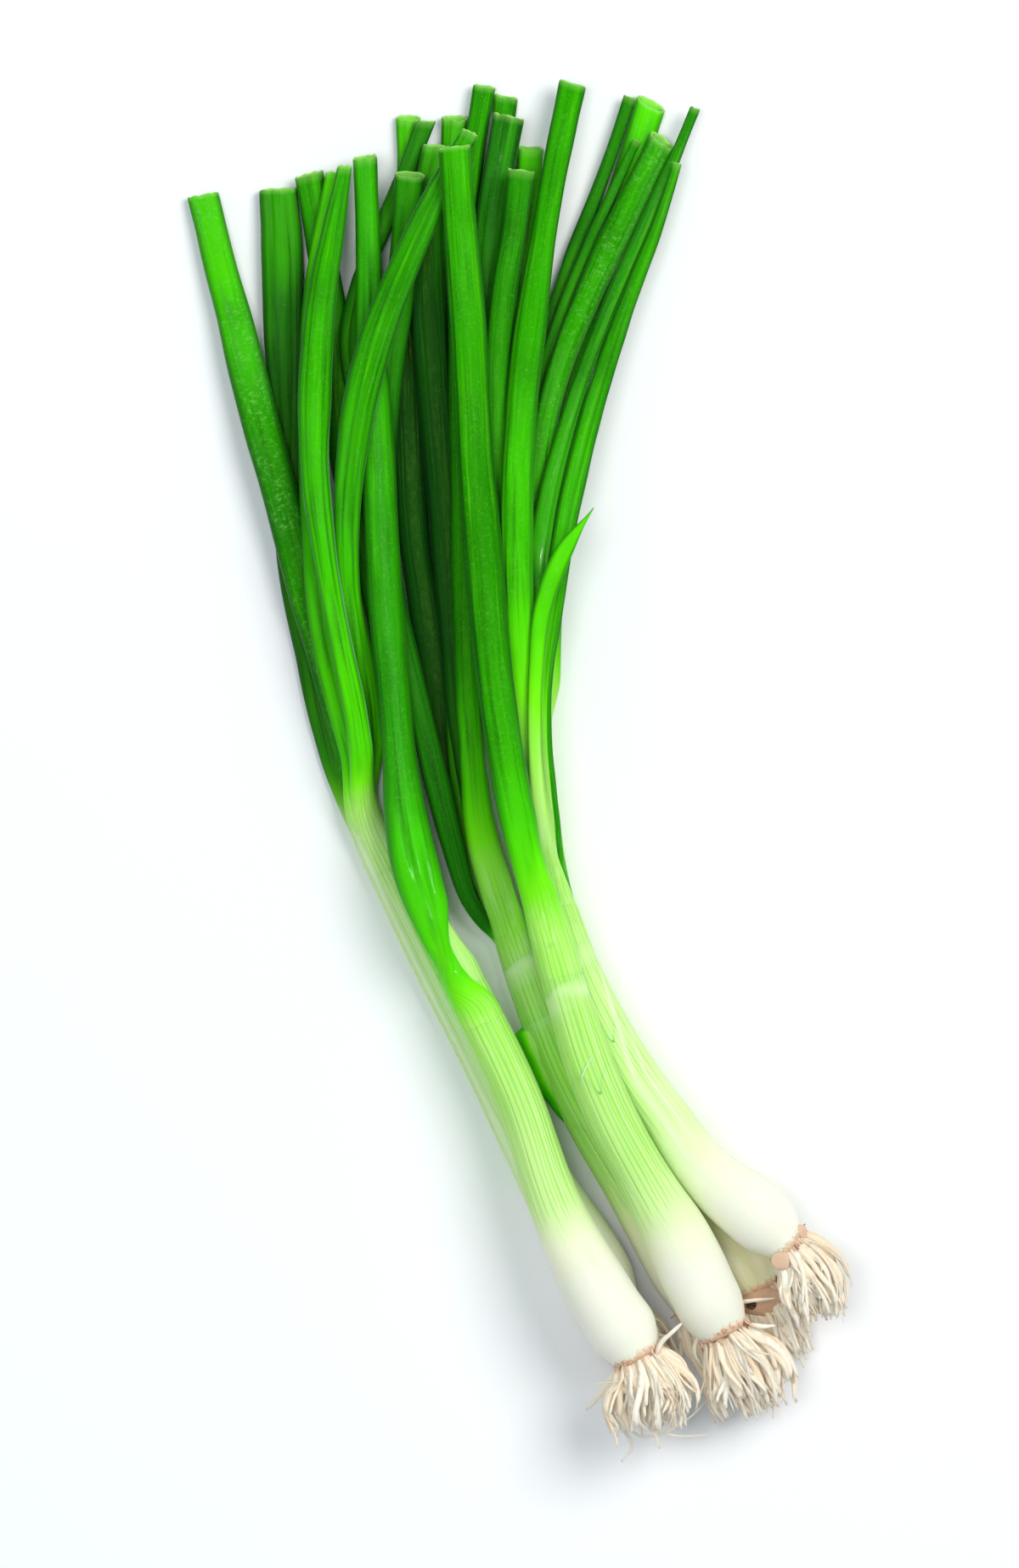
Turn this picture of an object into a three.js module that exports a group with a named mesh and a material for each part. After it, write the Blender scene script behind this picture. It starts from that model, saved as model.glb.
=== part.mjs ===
// A bunch of six trimmed spring onions, lying loose on a flat surface.
//
// +Z is up. The leaf tips point to +Y and the roots to -Y, and the bunch rests on Z = 0.
// Each onion is a bulb that narrows into a pale stem, a tuft of roots under the bulb, and the
// leaves that come out of the neck at the top of the stem. The onions lie in two layers, three
// by three, and their leaves cross over each other.
//
// Every piece is a closed tube with an upright oval section, bent along a route seen from above.
// Only the plan is given by hand. The heights follow from it: settle() lets all the tubes sink
// until they rest on the floor or on the tubes that they cross.

import * as THREE from 'three';

// ---- Driving dimensions, in millimetres ----

const CLEARANCE = 0.7;         // air between two tubes that rest on each other
const NECK_GAP = 1.6;          // from the end of a stem to the foot of its leaves
const PLATE_GAP = 1.2;         // from the bottom of a bulb to its roots
const STATION_STEP = 3.5;      // spacing of the places where a tube's height is worked out

// A kind of tube: its height for its width, the sides of its section, and how many stations
// there are from one ring of corners to the next.
const LEAF = { flatness: 0.62, sides: 8, ringEvery: 4, colour: 0x3c9a1c, roughness: 0.42 };
const STEM = { flatness: 0.98, sides: 10, ringEvery: 2, colour: 0xdcefb0, roughness: 0.35 };
const ROOTS = { flatness: 0.7, sides: 8, ringEvery: 2, colour: 0xe4d6bd, roughness: 0.85 };

// How the pile settles.
const ROUNDS = 1500;
const DROP_PER_LEVEL = 3;      // height that a tube starts from, for each level
const FIRST_SINK = 0.2;        // how far a tube sinks in the first round
const LAST_SINK = 0.06;        // and in the last one, against its own stiffness
const BEND_SPANS = [1, 3, 7];  // numbers of stations over which a tube keeps itself straight
const STIFFNESS = 0.6;
const FIRST_UPPER_SHARE = 0.6; // how much of an overlap the upper tube gives way, at first

// ---- The six onions ----
//
// A route is a list of [x, y, width]. A stem runs from the bottom of its bulb to the neck, roots
// run out from the bottom of the bulb, and a leaf runs out from the neck to its cut tip.
// Where two tubes cross, the one with the higher level lies on top. A leaf that leaves the neck
// at another level than it has further out gives that as nearNeck: [until this y, level].
// foot is where a leaf starts at the neck: how far to the right of the stem's middle line and
// how far above it, looking along the stem towards the leaves, and the leaf's width there.

const ONIONS = [
  {
    name: 'left',
    level: 12,
    roots: [[30.8, -141.5, 16], [32.3, -148, 21], [33, -154.5, 17]],
    stem: [
      [28.6, -137.2, 12], [26, -132.6, 15.4], [22, -126.5, 16], [17.4, -118.5, 15.2],
      [12.8, -109.5, 13.4], [8.4, -99.5, 11.9], [1.9, -80, 11.2], [-2.6, -69.5, 11],
      [-7.2, -60, 10.8], [-11.5, -51, 10.2],
    ],
    leaves: [
      {
        name: 'front', level: 16, foot: [0, 2.2, 9.2],
        route: [
          [-15.6, -43.5, 9], [-19, -36, 9.6], [-22, -28, 11], [-24.2, -18, 11.2], [-26, -7, 9.6],
          [-27.2, 5, 8], [-29.2, 28, 8.2], [-31, 52, 8.2], [-32.3, 80, 7.8], [-33.8, 100, 7.2],
          [-34.4, 122, 6], [-35.1, 143.8, 5.5],
        ],
      },
      {
        name: 'left', level: 6, foot: [-2.6, -2.7, 4.2],
        route: [
          [-20.4, -36, 5], [-26, -18, 5.2], [-28.4, 2, 5], [-30.2, 25, 5.2], [-35.2, 50, 6],
          [-41, 78, 6.8], [-41.6, 98, 7], [-44.4, 116, 7], [-48.4, 140, 6.8],
        ],
      },
      {
        name: 'right', level: 7, foot: [2.5, -2.7, 4],
        route: [
          [-16, -36, 4.6], [-21.6, -18, 4.8], [-25.4, 2, 4.8], [-27.6, 26, 4.8], [-31, 54, 4.8],
          [-36.5, 84, 4.8], [-38.9, 106, 4.6], [-33.5, 121.5, 4.2], [-26.2, 139, 4.2],
          [-21, 152.5, 4.6],
        ],
      },
    ],
  },
  {
    name: 'middle',
    level: 14,
    roots: [[51.2, -136.2, 16], [55, -143.4, 21], [57.6, -150.8, 17]],
    stem: [
      [49, -131.8, 12], [46.4, -127, 15], [43, -120, 16.4], [38.6, -110.5, 15.6],
      [32.6, -100, 13.4], [26.4, -89, 12.4], [21.2, -78.5, 11.8], [17.2, -68.5, 11.4],
      [13.2, -56, 10.6], [8.6, -40, 9.6],
    ],
    leaves: [
      {
        name: 'front', level: 21, foot: [0, 2, 9],
        route: [
          [6.1, -29, 9.2], [2.6, -18, 8.6], [-1.4, 0, 8.6], [-4.4, 20, 9], [-7.2, 50, 9.2],
          [-9.2, 75, 8.7], [-10.5, 100, 8.6], [-12, 120, 8], [-13.9, 145.4, 7.4],
        ],
      },
      {
        name: 'back_left', level: 15, nearNeck: [30, 20], foot: [-2.4, -2.7, 4],
        route: [
          [0.5, -16, 4.6], [-5, 20, 5.4], [-8.4, 55, 5.8], [-8.6, 88, 6.2], [-6.9, 112, 6.6],
          [-5.4, 131, 7], [-2.1, 148, 7.4], [-1.3, 153.6, 7.4],
        ],
      },
      {
        name: 'back_right', level: 12, nearNeck: [30, 19], foot: [2.4, -2.7, 4],
        route: [
          [4.6, -20, 4.2], [-2.4, 3, 4.2], [-5.3, 30, 4], [-5.6, 60, 4.6], [-5.6, 90, 5],
          [-4.6, 120, 5.2], [-3.4, 142, 5.2], [-2, 158.5, 5.3],
        ],
      },
    ],
  },
  {
    name: 'right',
    level: 10,
    roots: [[67.3, -114.8, 13.5], [70.6, -121, 16], [72.6, -128.6, 12]],
    stem: [
      [64, -111.5, 10.5], [60.4, -108, 15], [55, -103.2, 16], [49, -98.6, 14.6],
      [43.2, -93.2, 13], [36.2, -83.2, 12], [28.6, -72.5, 11.6], [22, -61.5, 11],
      [16.7, -51, 10.4], [12.7, -40, 9.4], [10.6, -33, 8.8],
    ],
    leaves: [
      {
        name: 'front', level: 17, foot: [-1.5, 1.6, 5],
        route: [
          [6.9, -18, 6], [4, 0, 6.4], [2, 20, 7], [0.8, 45, 7.6], [0.9, 68, 7.8], [2.3, 90, 7.4],
          [4.8, 110, 7.2], [7.7, 130, 6], [11.4, 150, 6], [13.8, 161.2, 6.4],
        ],
      },
      {
        name: 'side', level: 15, foot: [2.9, -0.6, 3.2],
        route: [
          [9.9, -19, 3.9], [7.5, 0, 3.6], [7.1, 18, 3.4], [10.2, 43, 4.2], [15, 70, 4.6],
          [20.4, 90, 4.2], [27.2, 110, 3.3], [34.6, 130, 2.4], [38.6, 142.3, 2],
        ],
      },
      {
        name: 'back', level: 14, foot: [-1.3, -2.5, 3.8],
        route: [
          [7.2, -14, 4], [5.2, 8, 4.2], [5.3, 38, 4.6], [7.8, 60, 4.7], [12.9, 80, 3.8],
          [19.5, 100, 3.3], [28, 120, 3], [36.4, 140, 2.8], [42.8, 155.5, 2.4],
        ],
      },
      {
        name: 'young', level: 18, foot: [2.3, 2.6, 2.4],
        route: [
          [7.6, -18, 2.7], [5.2, 0, 2.7], [4.9, 18, 2.7], [6.2, 35, 3.1], [9, 45, 3.3],
          [11.6, 50.5, 3.2], [15.1, 55.4, 2.6], [18.8, 61.2, 1.6],
        ],
      },
    ],
  },
  {
    name: 'lower_left',
    level: 1,
    roots: [[26.5, -130.5, 12], [30.5, -136.5, 13], [34.5, -142, 10]],
    stem: [
      [24.5, -127, 10.5], [22, -122.6, 14.5], [17.8, -115.5, 16], [12.8, -107, 14.8],
      [7.2, -97, 12.4], [2.3, -87.5, 11.4], [-2.6, -78, 11], [-7.7, -68, 10.8], [-13.2, -57, 10.6],
      [-19.2, -45, 10.2], [-25.2, -33, 10], [-30.6, -22, 9.6], [-34, -15.4, 9],
    ],
    leaves: [
      {
        name: 'outer', level: 4, foot: [-2.4, -3, 3.6],
        route: [
          [-41.8, -2, 4.8], [-44.9, 10, 5.4], [-48.2, 26, 5.8], [-51.5, 42, 6.2], [-53.4, 60, 6.6],
          [-54, 85, 7.2], [-54.6, 110, 9], [-55, 124, 9.4], [-55.8, 136.5, 8.4],
        ],
      },
      {
        name: 'long', level: 8, foot: [-2.5, 0, 3.6],
        route: [
          [-39.5, 1, 4.6], [-43.6, 20, 5.8], [-49, 40, 7.2], [-56.4, 70, 8.2], [-61.8, 90, 8.7],
          [-66.9, 110, 7.8], [-73.5, 135.2, 7],
        ],
      },
      {
        name: 'back', level: 14, foot: [-2.5, 3, 3.6],
        route: [
          [-38, 0, 4.6], [-42.8, 20, 5.6], [-46.2, 40, 6], [-47.7, 70, 6], [-47.9, 95, 6],
          [-46.4, 118, 5], [-43, 140.3, 2.8],
        ],
      },
      {
        name: 'front', level: 22, nearNeck: [5, 15], foot: [2.4, 2.4, 4.2],
        route: [
          [-34.6, -4, 5.4], [-36.7, 10, 5.7], [-40.8, 30, 5.2], [-44.4, 50, 5.6], [-46.9, 72, 7],
          [-46.8, 90, 7.8], [-45.4, 110, 7], [-42.6, 127, 5.4], [-40, 141.5, 3.4],
        ],
      },
      {
        name: 'crossing', level: 18, nearNeck: [10, 5], foot: [2.4, -2, 3.4],
        route: [
          [-33.9, -2, 3.8], [-34.8, 10, 4.2], [-36.1, 20, 4.8], [-38.4, 36, 5.4], [-39.4, 56, 6.2],
          [-37.5, 79, 7.4], [-32.8, 99.5, 8.2], [-25, 120, 7.2], [-16.8, 138, 5.2], [-10.5, 149.2, 4],
        ],
      },
    ],
  },
  {
    name: 'lower_middle',
    level: 3,
    roots: [[44.5, -130.5, 12], [48, -137, 13], [51.5, -143.5, 10]],
    stem: [
      [42.5, -127, 10], [40.6, -122.6, 12.6], [37.2, -115.8, 13.6], [32, -106.5, 13.2],
      [26.4, -97, 12.2], [21, -88.5, 11.4], [15.8, -79.5, 11], [11.2, -70, 10.8], [7.1, -60, 10.4],
      [3.4, -50, 10], [0.8, -43, 9.4],
    ],
    leaves: [
      {
        name: 'front', level: 13, foot: [0.3, 2.4, 7.6],
        route: [
          [-4.3, -28, 8], [-7.6, -16, 7.4], [-9.5, 0, 6.4], [-11, 20, 6], [-11.8, 50, 6],
          [-12.4, 85, 6], [-12.2, 115, 5.6], [-10.4, 140, 5.2], [-7, 160.8, 5.2],
        ],
      },
      {
        name: 'thin', level: 8, foot: [-2.2, -3.6, 2.8],
        route: [
          [-8.6, -25, 3.4], [-12.6, -8, 3.6], [-14.2, 10, 3.8], [-14.2, 35, 4], [-15.2, 65, 4.6],
          [-15.8, 100, 5], [-15.2, 128, 5.4], [-14, 153.4, 6],
        ],
      },
      {
        name: 'broad', level: 9, foot: [1.6, -1.3, 2.8],
        route: [
          [-6.6, -22, 4.4], [-10.6, 0, 5.6], [-12.9, 20, 6.6], [-15.2, 48, 7], [-17.9, 80, 7.6],
          [-19.7, 102, 8.4], [-20.6, 128, 7], [-20.2, 138, 6.4], [-18.4, 146.6, 6],
        ],
      },
      {
        name: 'dark', level: 5, foot: [1.4, -3.6, 2.8],
        route: [
          [-9, -27, 3.6], [-14, -10, 4.6], [-17, 8, 5], [-19.2, 28, 5.4], [-23, 52, 5.2],
          [-24.8, 80, 5.2], [-25.7, 115, 5.4], [-25.2, 140, 5.4], [-25, 153.5, 5.6],
        ],
      },
      {
        name: 'side', level: 11, foot: [-2.8, -1.3, 2.8],
        route: [
          [-11, -30, 4.6], [-15, -16, 5.4], [-19, 0, 6], [-23.8, 20, 6], [-28.6, 40, 6],
          [-30.8, 64, 6], [-29.8, 88, 6.2], [-26.6, 114, 6.6], [-24.5, 139.6, 7.2],
        ],
      },
    ],
  },
  {
    name: 'lower_right',
    level: 2,
    roots: [[58.8, -125.5, 12], [62.5, -131.5, 14], [65.5, -138.5, 11]],
    stem: [
      [57, -122, 10.5], [55, -117.8, 13.6], [51.6, -111, 14.4], [46.6, -102.5, 13],
      [40.6, -93, 11.4], [33.6, -82, 10.6], [27.2, -71.5, 10.2], [21, -61, 9.6], [15.4, -50, 9.2],
      [11.2, -38, 9], [8.2, -24, 8.8], [6.4, -10, 8.4], [5, 0, 8],
    ],
    leaves: [
      {
        name: 'left', level: 16, nearNeck: [40, 10], foot: [-3.3, 1.5, 2.6],
        route: [
          [0.5, 26, 4], [0, 42, 4.2], [-3, 64, 5.5], [-4, 92, 6], [-2.4, 112, 6.4], [0.4, 129, 5.8],
          [1.8, 140.4, 6.2],
        ],
      },
      {
        name: 'back_left', level: 7, foot: [-3.3, -1.5, 2.6],
        route: [
          [1.6, 30, 4.2], [0.6, 60, 5], [1.4, 95, 5.2], [2.8, 125, 5.6], [3.9, 146.4, 6],
        ],
      },
      {
        name: 'front', level: 9, foot: [3.3, 1.5, 2.6],
        route: [
          [6.2, 30, 4.4], [5.6, 64, 5.6], [9.4, 90, 5.8], [16.8, 110, 6.4], [26.2, 130, 7.2],
          [34.8, 148, 6.4],
        ],
      },
      {
        name: 'thin', level: 8, foot: [0, 1.5, 2.6],
        route: [
          [3.4, 30, 3.4], [3.4, 64, 3.4], [6.8, 92, 3], [12, 110, 2.8], [20.6, 130, 2.8],
          [28.8, 148, 2.2],
        ],
      },
      {
        name: 'narrow', level: 6, foot: [0, -1.5, 2.6],
        route: [
          [3.6, 30, 3.4], [4, 65, 3.6], [7.4, 100, 3.6], [12.6, 118, 3.5], [21.2, 140, 3.3],
          [27.3, 158.3, 2.8],
        ],
      },
      {
        name: 'back_right', level: 5, foot: [3.3, -1.5, 2.6],
        route: [
          [7.4, 32, 4.4], [9.4, 66, 5.4], [14.4, 98, 6], [21.4, 124, 6.4], [27.4, 142, 6.6],
          [32.3, 156.8, 7],
        ],
      },
    ],
  },
];

// ---- Tubes: a route cut into stations ----

/** Stations along a smooth curve through the points of a route. */
function stationsAlong(route, kind, levelAt) {
  const points = route.map(([x, y, width]) => new THREE.Vector3(x, y, width));
  const curve = new THREE.CatmullRomCurve3(points, false, 'centripetal');
  const spans = Math.max(2, Math.round(curve.getLength() / (STATION_STEP * kind.ringEvery)));
  return curve.getSpacedPoints(spans * kind.ringEvery).map(({ x, y, z: width }) => ({
    place: new THREE.Vector2(x, y),
    halfWidth: width / 2,
    halfHeight: (width * kind.flatness) / 2,
    floor: ((width * kind.flatness) / 2) * Math.cos(Math.PI / kind.sides),
    level: levelAt(y),
    z: 0,
  }));
}

/** The direction in which stations leave their last one. */
function outwardAt(stations) {
  const [before, last] = stations.slice(-2);
  return last.place.clone().sub(before.place).normalize();
}

/** A stem with its roots: one tube to the pile, two pieces to the object. */
function layStem(onion) {
  const levelAt = () => onion.level;
  const stem = stationsAlong(onion.stem, STEM, levelAt);
  const foot = onion.stem[0];
  const out = outwardAt([...stem].reverse()).multiplyScalar(PLATE_GAP);
  const rootFoot = [foot[0] + out.x, foot[1] + out.y, foot[2]];
  const roots = stationsAlong([rootFoot, ...onion.roots], ROOTS, levelAt);
  return { stem, roots, stations: [...[...roots].reverse(), ...stem] };
}

/** A leaf that starts in front of the neck of its stem. */
function layLeaf(leaf, stem) {
  const out = outwardAt(stem.stations);
  const [right, lift, width] = leaf.foot;
  const neck = stem.stations.at(-1);
  const x = neck.place.x + out.x * NECK_GAP + out.y * right;
  const y = neck.place.y + out.y * NECK_GAP - out.x * right;
  const [nearY, nearLevel] = leaf.nearNeck ?? [-Infinity, leaf.level];
  const levelAt = (stationY) => (stationY < nearY ? nearLevel : leaf.level);
  const stations = stationsAlong([[x, y, width], ...leaf.route], LEAF, levelAt);
  return { stations, neck, lift, stem };
}

// ---- Settling: heights for the whole pile ----

/** The place on a tube that is nearest to a point: between stations index and index + 1. */
function nearestOn(stations, point) {
  let best = { distance: Infinity };
  for (let index = 0; index + 1 < stations.length; index += 1) {
    const start = stations[index].place;
    const along = stations[index + 1].place.clone().sub(start);
    const share = THREE.MathUtils.clamp(point.clone().sub(start).dot(along) / along.lengthSq(), 0, 1);
    const distance = start.clone().addScaledVector(along, share).distanceTo(point);
    if (distance < best.distance) {
      best = { index, share, distance };
    }
  }
  return best;
}

const between = (a, b, share) => a + (b - a) * share;

/** Every station of one tube that crosses or touches another tube, with the height between them. */
function contactsOf(tube, other) {
  const contacts = [];
  const otherWidest = Math.max(...other.stations.map((station) => station.halfWidth));
  for (const station of tube.stations) {
    const { index, share, distance } = nearestOn(other.stations, station.place);
    if (distance < station.halfWidth + otherWidest + CLEARANCE) {
      const [start, end] = [other.stations[index], other.stations[index + 1]];
      const reach = station.halfWidth + between(start.halfWidth, end.halfWidth, share) + CLEARANCE;
      const height = station.halfHeight + between(start.halfHeight, end.halfHeight, share) + CLEARANCE;
      if (distance < reach) {
        const rise = height * Math.sqrt(1 - (distance / reach) ** 2);
        const above = station.level > start.level;
        const upperLevel = Math.max(station.level, start.level);
        contacts.push({ station, start, end, share, rise, above, upperLevel });
      }
    }
  }
  return contacts;
}

function areSeparate(tube, other) {
  return tube !== other && tube.stem !== other && other.stem !== tube;
}

/** How much further apart a contact's two tubes need to be. */
function overlapOf({ station, start, end, share, rise, above }) {
  const otherZ = between(start.z, end.z, share);
  return rise - (above ? station.z - otherZ : otherZ - station.z);
}

/** Moves both sides of a contact apart, the upper one by upperShare of the overlap. */
function pushApart(contact, upperShare) {
  const overlap = overlapOf(contact);
  if (overlap <= 0) {
    return;
  }
  const stationMove = contact.above ? overlap * upperShare : -overlap * (1 - upperShare);
  const otherMove = contact.above ? -overlap * (1 - upperShare) : overlap * upperShare;
  contact.station.z += stationMove;
  contact.start.z += otherMove;
  contact.end.z += otherMove;
}

/** Bends a tube back towards a straight line, without lifting, lowering or turning it. */
function straighten({ stations }) {
  for (const span of BEND_SPANS) {
    for (let index = span; index + span < stations.length; index += 1) {
      const [before, here, after] = [index - span, index, index + span].map((at) => stations[at]);
      const bend = (before.z - 2 * here.z + after.z) * STIFFNESS;
      before.z -= bend / 6;
      here.z += bend / 3;
      after.z -= bend / 6;
    }
  }
}

function keepAboveFloor({ stations }) {
  for (const station of stations) {
    station.z = Math.max(station.z, station.floor);
  }
}

function holdAtNeck({ stations, neck, lift }) {
  if (neck) {
    stations[0].z = neck.z + lift;
  }
}

function settle(tubes) {
  const contacts = tubes.flatMap((tube) => tubes
    .filter((other) => areSeparate(tube, other))
    .flatMap((other) => contactsOf(tube, other)));
  contacts.sort((a, b) => a.upperLevel - b.upperLevel);
  for (const tube of tubes) {
    for (const station of tube.stations) {
      station.z = station.floor + station.level * DROP_PER_LEVEL;
    }
  }
  for (let round = 0; round < ROUNDS; round += 1) {
    const sink = between(FIRST_SINK, LAST_SINK, round / ROUNDS);
    for (const tube of tubes) {
      straighten(tube);
      for (const station of tube.stations) {
        station.z -= sink;
      }
      holdAtNeck(tube);
    }
    tubes.forEach(keepAboveFloor);
    for (const contact of contacts) {
      pushApart(contact, between(FIRST_UPPER_SHARE, 1, round / (ROUNDS - 1)));
    }
  }
}

// ---- Solids ----

/** A closed tube through every ringEvery-th station, with flat ends. */
function tubeGeometry(stations, kind) {
  const rings = stations.filter((_, index) => index % kind.ringEvery === 0);
  const geometry = new THREE.CylinderGeometry(1, 1, rings.length - 1, kind.sides, rings.length - 1);
  geometry.rotateY(Math.PI / kind.sides);
  const corners = geometry.getAttribute('position');
  for (let index = 0; index < corners.count; index += 1) {
    const ring = Math.round(corners.getY(index) + (rings.length - 1) / 2);
    const { place, halfWidth, halfHeight, z } = rings[ring];
    const ahead = rings[Math.min(ring + 1, rings.length - 1)].place;
    const behind = rings[Math.max(ring - 1, 0)].place;
    const forward = ahead.clone().sub(behind).normalize();
    const across = corners.getX(index) * halfWidth;
    corners.setXYZ(
      index,
      place.x + forward.y * across,
      place.y - forward.x * across,
      z + corners.getZ(index) * halfHeight,
    );
  }
  geometry.computeVertexNormals();
  return geometry;
}

function meshOf(name, stations, kind) {
  const { colour, roughness } = kind;
  const material = new THREE.MeshStandardMaterial({ color: colour, roughness, metalness: 0 });
  const mesh = new THREE.Mesh(tubeGeometry(stations, kind), material);
  mesh.name = name;
  return mesh;
}

// ---- The bunch ----

const grown = ONIONS.map((onion) => {
  const stem = layStem(onion);
  const leaves = onion.leaves.map((leaf) => ({ name: leaf.name, tube: layLeaf(leaf, stem) }));
  return { name: onion.name, stem, leaves };
});

settle(grown.flatMap(({ stem, leaves }) => [stem, ...leaves.map(({ tube }) => tube)]));

const bunch = new THREE.Group();
for (const { name, stem, leaves } of grown) {
  const onion = new THREE.Group();
  onion.add(meshOf(`bulb_${name}`, stem.stem, STEM));
  onion.add(meshOf(`roots_${name}`, stem.roots, ROOTS));
  for (const leaf of leaves) {
    onion.add(meshOf(`leaf_${name}_${leaf.name}`, leaf.tube.stations, LEAF));
  }
  bunch.add(onion);
}

// The origin is under the middle of the bunch.
const box = new THREE.Box3().setFromObject(bunch);
const middle = box.getCenter(new THREE.Vector3());
bunch.position.set(-middle.x, -middle.y, -box.min.z);

export default bunch;
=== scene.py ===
# A bunch of six spring onions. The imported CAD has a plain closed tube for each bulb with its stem,
# each tuft of roots and each leaf. This script reads every tube back as rings, and builds on them
# the real surfaces: hollow leaves that grow out of the stems, veined stems, bulbs with a root
# plate, and tufts of separate roots. Lengths are in millimetres until a mesh is made.

import math
import zlib

import bpy
import numpy as np
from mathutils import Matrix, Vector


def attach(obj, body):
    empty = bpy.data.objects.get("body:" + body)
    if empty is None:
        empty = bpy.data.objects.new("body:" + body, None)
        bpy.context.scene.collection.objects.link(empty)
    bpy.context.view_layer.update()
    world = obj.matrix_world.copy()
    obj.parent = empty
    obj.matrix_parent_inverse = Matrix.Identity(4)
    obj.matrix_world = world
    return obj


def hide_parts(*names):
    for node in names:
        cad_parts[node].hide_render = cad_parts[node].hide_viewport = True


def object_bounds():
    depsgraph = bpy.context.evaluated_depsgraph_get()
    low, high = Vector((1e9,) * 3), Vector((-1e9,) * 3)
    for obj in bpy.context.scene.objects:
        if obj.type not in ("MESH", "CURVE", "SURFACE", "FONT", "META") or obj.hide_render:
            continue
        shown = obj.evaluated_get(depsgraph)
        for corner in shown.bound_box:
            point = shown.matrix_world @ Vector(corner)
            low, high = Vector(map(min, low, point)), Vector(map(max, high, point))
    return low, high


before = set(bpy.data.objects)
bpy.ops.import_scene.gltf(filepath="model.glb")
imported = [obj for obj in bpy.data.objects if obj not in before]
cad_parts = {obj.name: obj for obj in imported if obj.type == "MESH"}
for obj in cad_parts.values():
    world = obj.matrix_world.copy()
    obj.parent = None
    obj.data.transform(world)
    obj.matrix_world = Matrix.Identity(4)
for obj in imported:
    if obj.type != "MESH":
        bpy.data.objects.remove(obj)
cad_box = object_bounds()

MM = 0.001
LEAF_STEP = 1.5            # between the rows of a leaf
STEM_STEP = 1.0
LEAF_SIDES = 56
STEM_SIDES = 72
SMALL_SIDES = 32           # round a scar or the torn strip
NECK_GAP = 1.6             # the CAD's gap between a stem's end and the foot of its leaves
LEAF_INSIDE = 14           # how far a leaf reaches into its stem
STEM_INSIDE = 9            # how far a stem goes on inside its leaves
PLATE = 1.9                # how far a root plate stands out from its CAD bulb
WALL = 0.55                # thickness of a leaf's wall
HOLLOW_DEPTH = 22          # how far the hollow of a cut leaf is built
STEM_FULLNESS = 2.02
VEIN_RADIUS = 5.5          # of the straight tube on which the vein patterns of stems are made
RIBS = 22                  # round a leaf
ROOTS = 184                # in a tuft
FELT_ROOTS = 24            # of them, the thick short ones that fill its middle
SCRAPS = 64                # round the rim of a plate
ROOT_STEPS = 14
ROOT_SIDES = 8
ROOT_PATTERN = 20          # how much of the pattern of fibres a root takes up
PATTERN_SHIFTS = 997       # how many places on that pattern a root can start at
RIPPLE_WAVES = 5
FLOOR_GAP = 0.02           # under a stem
LEAF_GAP = 0.05            # under a leaf or a root
ROUND = np.linspace(0, 2 * math.pi, ROOT_SIDES, endpoint=False)[None, :]
ALONG = np.linspace(0, 1, ROOT_STEPS)


# ---- Small numeric helpers ----

def rng_for(name):
    """A random generator that depends only on a name, so that every run gives the same result."""
    return np.random.default_rng(zlib.crc32(name.encode()))


def smoothstep(low, high, value):
    share = np.clip((np.asarray(value, float) - low) / (high - low), 0, 1)
    return share * share * (3 - 2 * share)


def within(start, end, fade, value):
    """1 from one place to another, falling to 0 at both over a distance of fade."""
    return smoothstep(start, start + fade, value) * smoothstep(end, end - fade, value)


def mix(a, b, share):
    return a + (b - a) * share


def unit_rows(vectors):
    return vectors / np.linalg.norm(vectors, axis=1, keepdims=True)


def through(knots, data, at):
    """Rows of a smooth curve through data at the knots, going on straight beyond the ends."""
    slopes = np.gradient(data, knots, axis=0)
    inside = np.clip(at, knots[0], knots[-1])
    index = np.clip(np.searchsorted(knots, inside) - 1, 0, len(knots) - 2)
    span = (knots[index + 1] - knots[index])[:, None]
    u = (inside - knots[index])[:, None] / span
    beyond = (at - inside)[:, None]
    return (
        (2 * u**3 - 3 * u**2 + 1) * data[index]
        + (u**3 - 2 * u**2 + u) * span * slopes[index]
        + (3 * u**2 - 2 * u**3) * data[index + 1]
        + (u**3 - u**2) * span * slopes[index + 1]
        + np.where(beyond > 0, slopes[-1], slopes[0]) * beyond
    )


def ripple(t, angle, rng, length, lobes):
    """Smooth noise of about -1 to 1 over a tube, periodic round it."""
    total = np.zeros(np.broadcast(t, angle).shape)
    for _ in range(RIPPLE_WAVES):
        pace = 2 * math.pi / (length * rng.uniform(0.6, 1.6))
        turns = rng.integers(0, lobes + 1)
        start, turn = rng.uniform(0, 2 * math.pi, 2)
        total += np.cos(t * pace + start) * np.cos(angle * turns + turn)
    return total / math.sqrt(RIPPLE_WAVES)


# ---- Reading the CAD tubes ----

class Tube:
    """The middle line of a CAD tube, with its half width and half height, from its lower end."""

    def __init__(self, node):
        self.centres, self.halves = rings_of(node)
        steps = np.linalg.norm(np.diff(self.centres, axis=0), axis=1)
        self.knots = np.concatenate([[0], np.cumsum(steps)])
        self.length = self.knots[-1]

    def at(self, t):
        """Centres, half widths and half heights at distances t from the lower end."""
        t = np.asarray(t, float)
        halves = through(self.knots, self.halves, np.clip(t, 0, self.length))
        return through(self.knots, self.centres, t), halves[:, 0], halves[:, 1]

    def from_below(self, t):
        """The same, where t may be below 0: the tube then goes on straight, as it starts."""
        centres, half_widths, half_heights = self.at(np.maximum(t, 0))
        start = unit_rows(np.diff(self.at([0.0, 1.0])[0], axis=0))
        return centres + t[:, None].clip(max=0) * start, half_widths, half_heights


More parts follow.
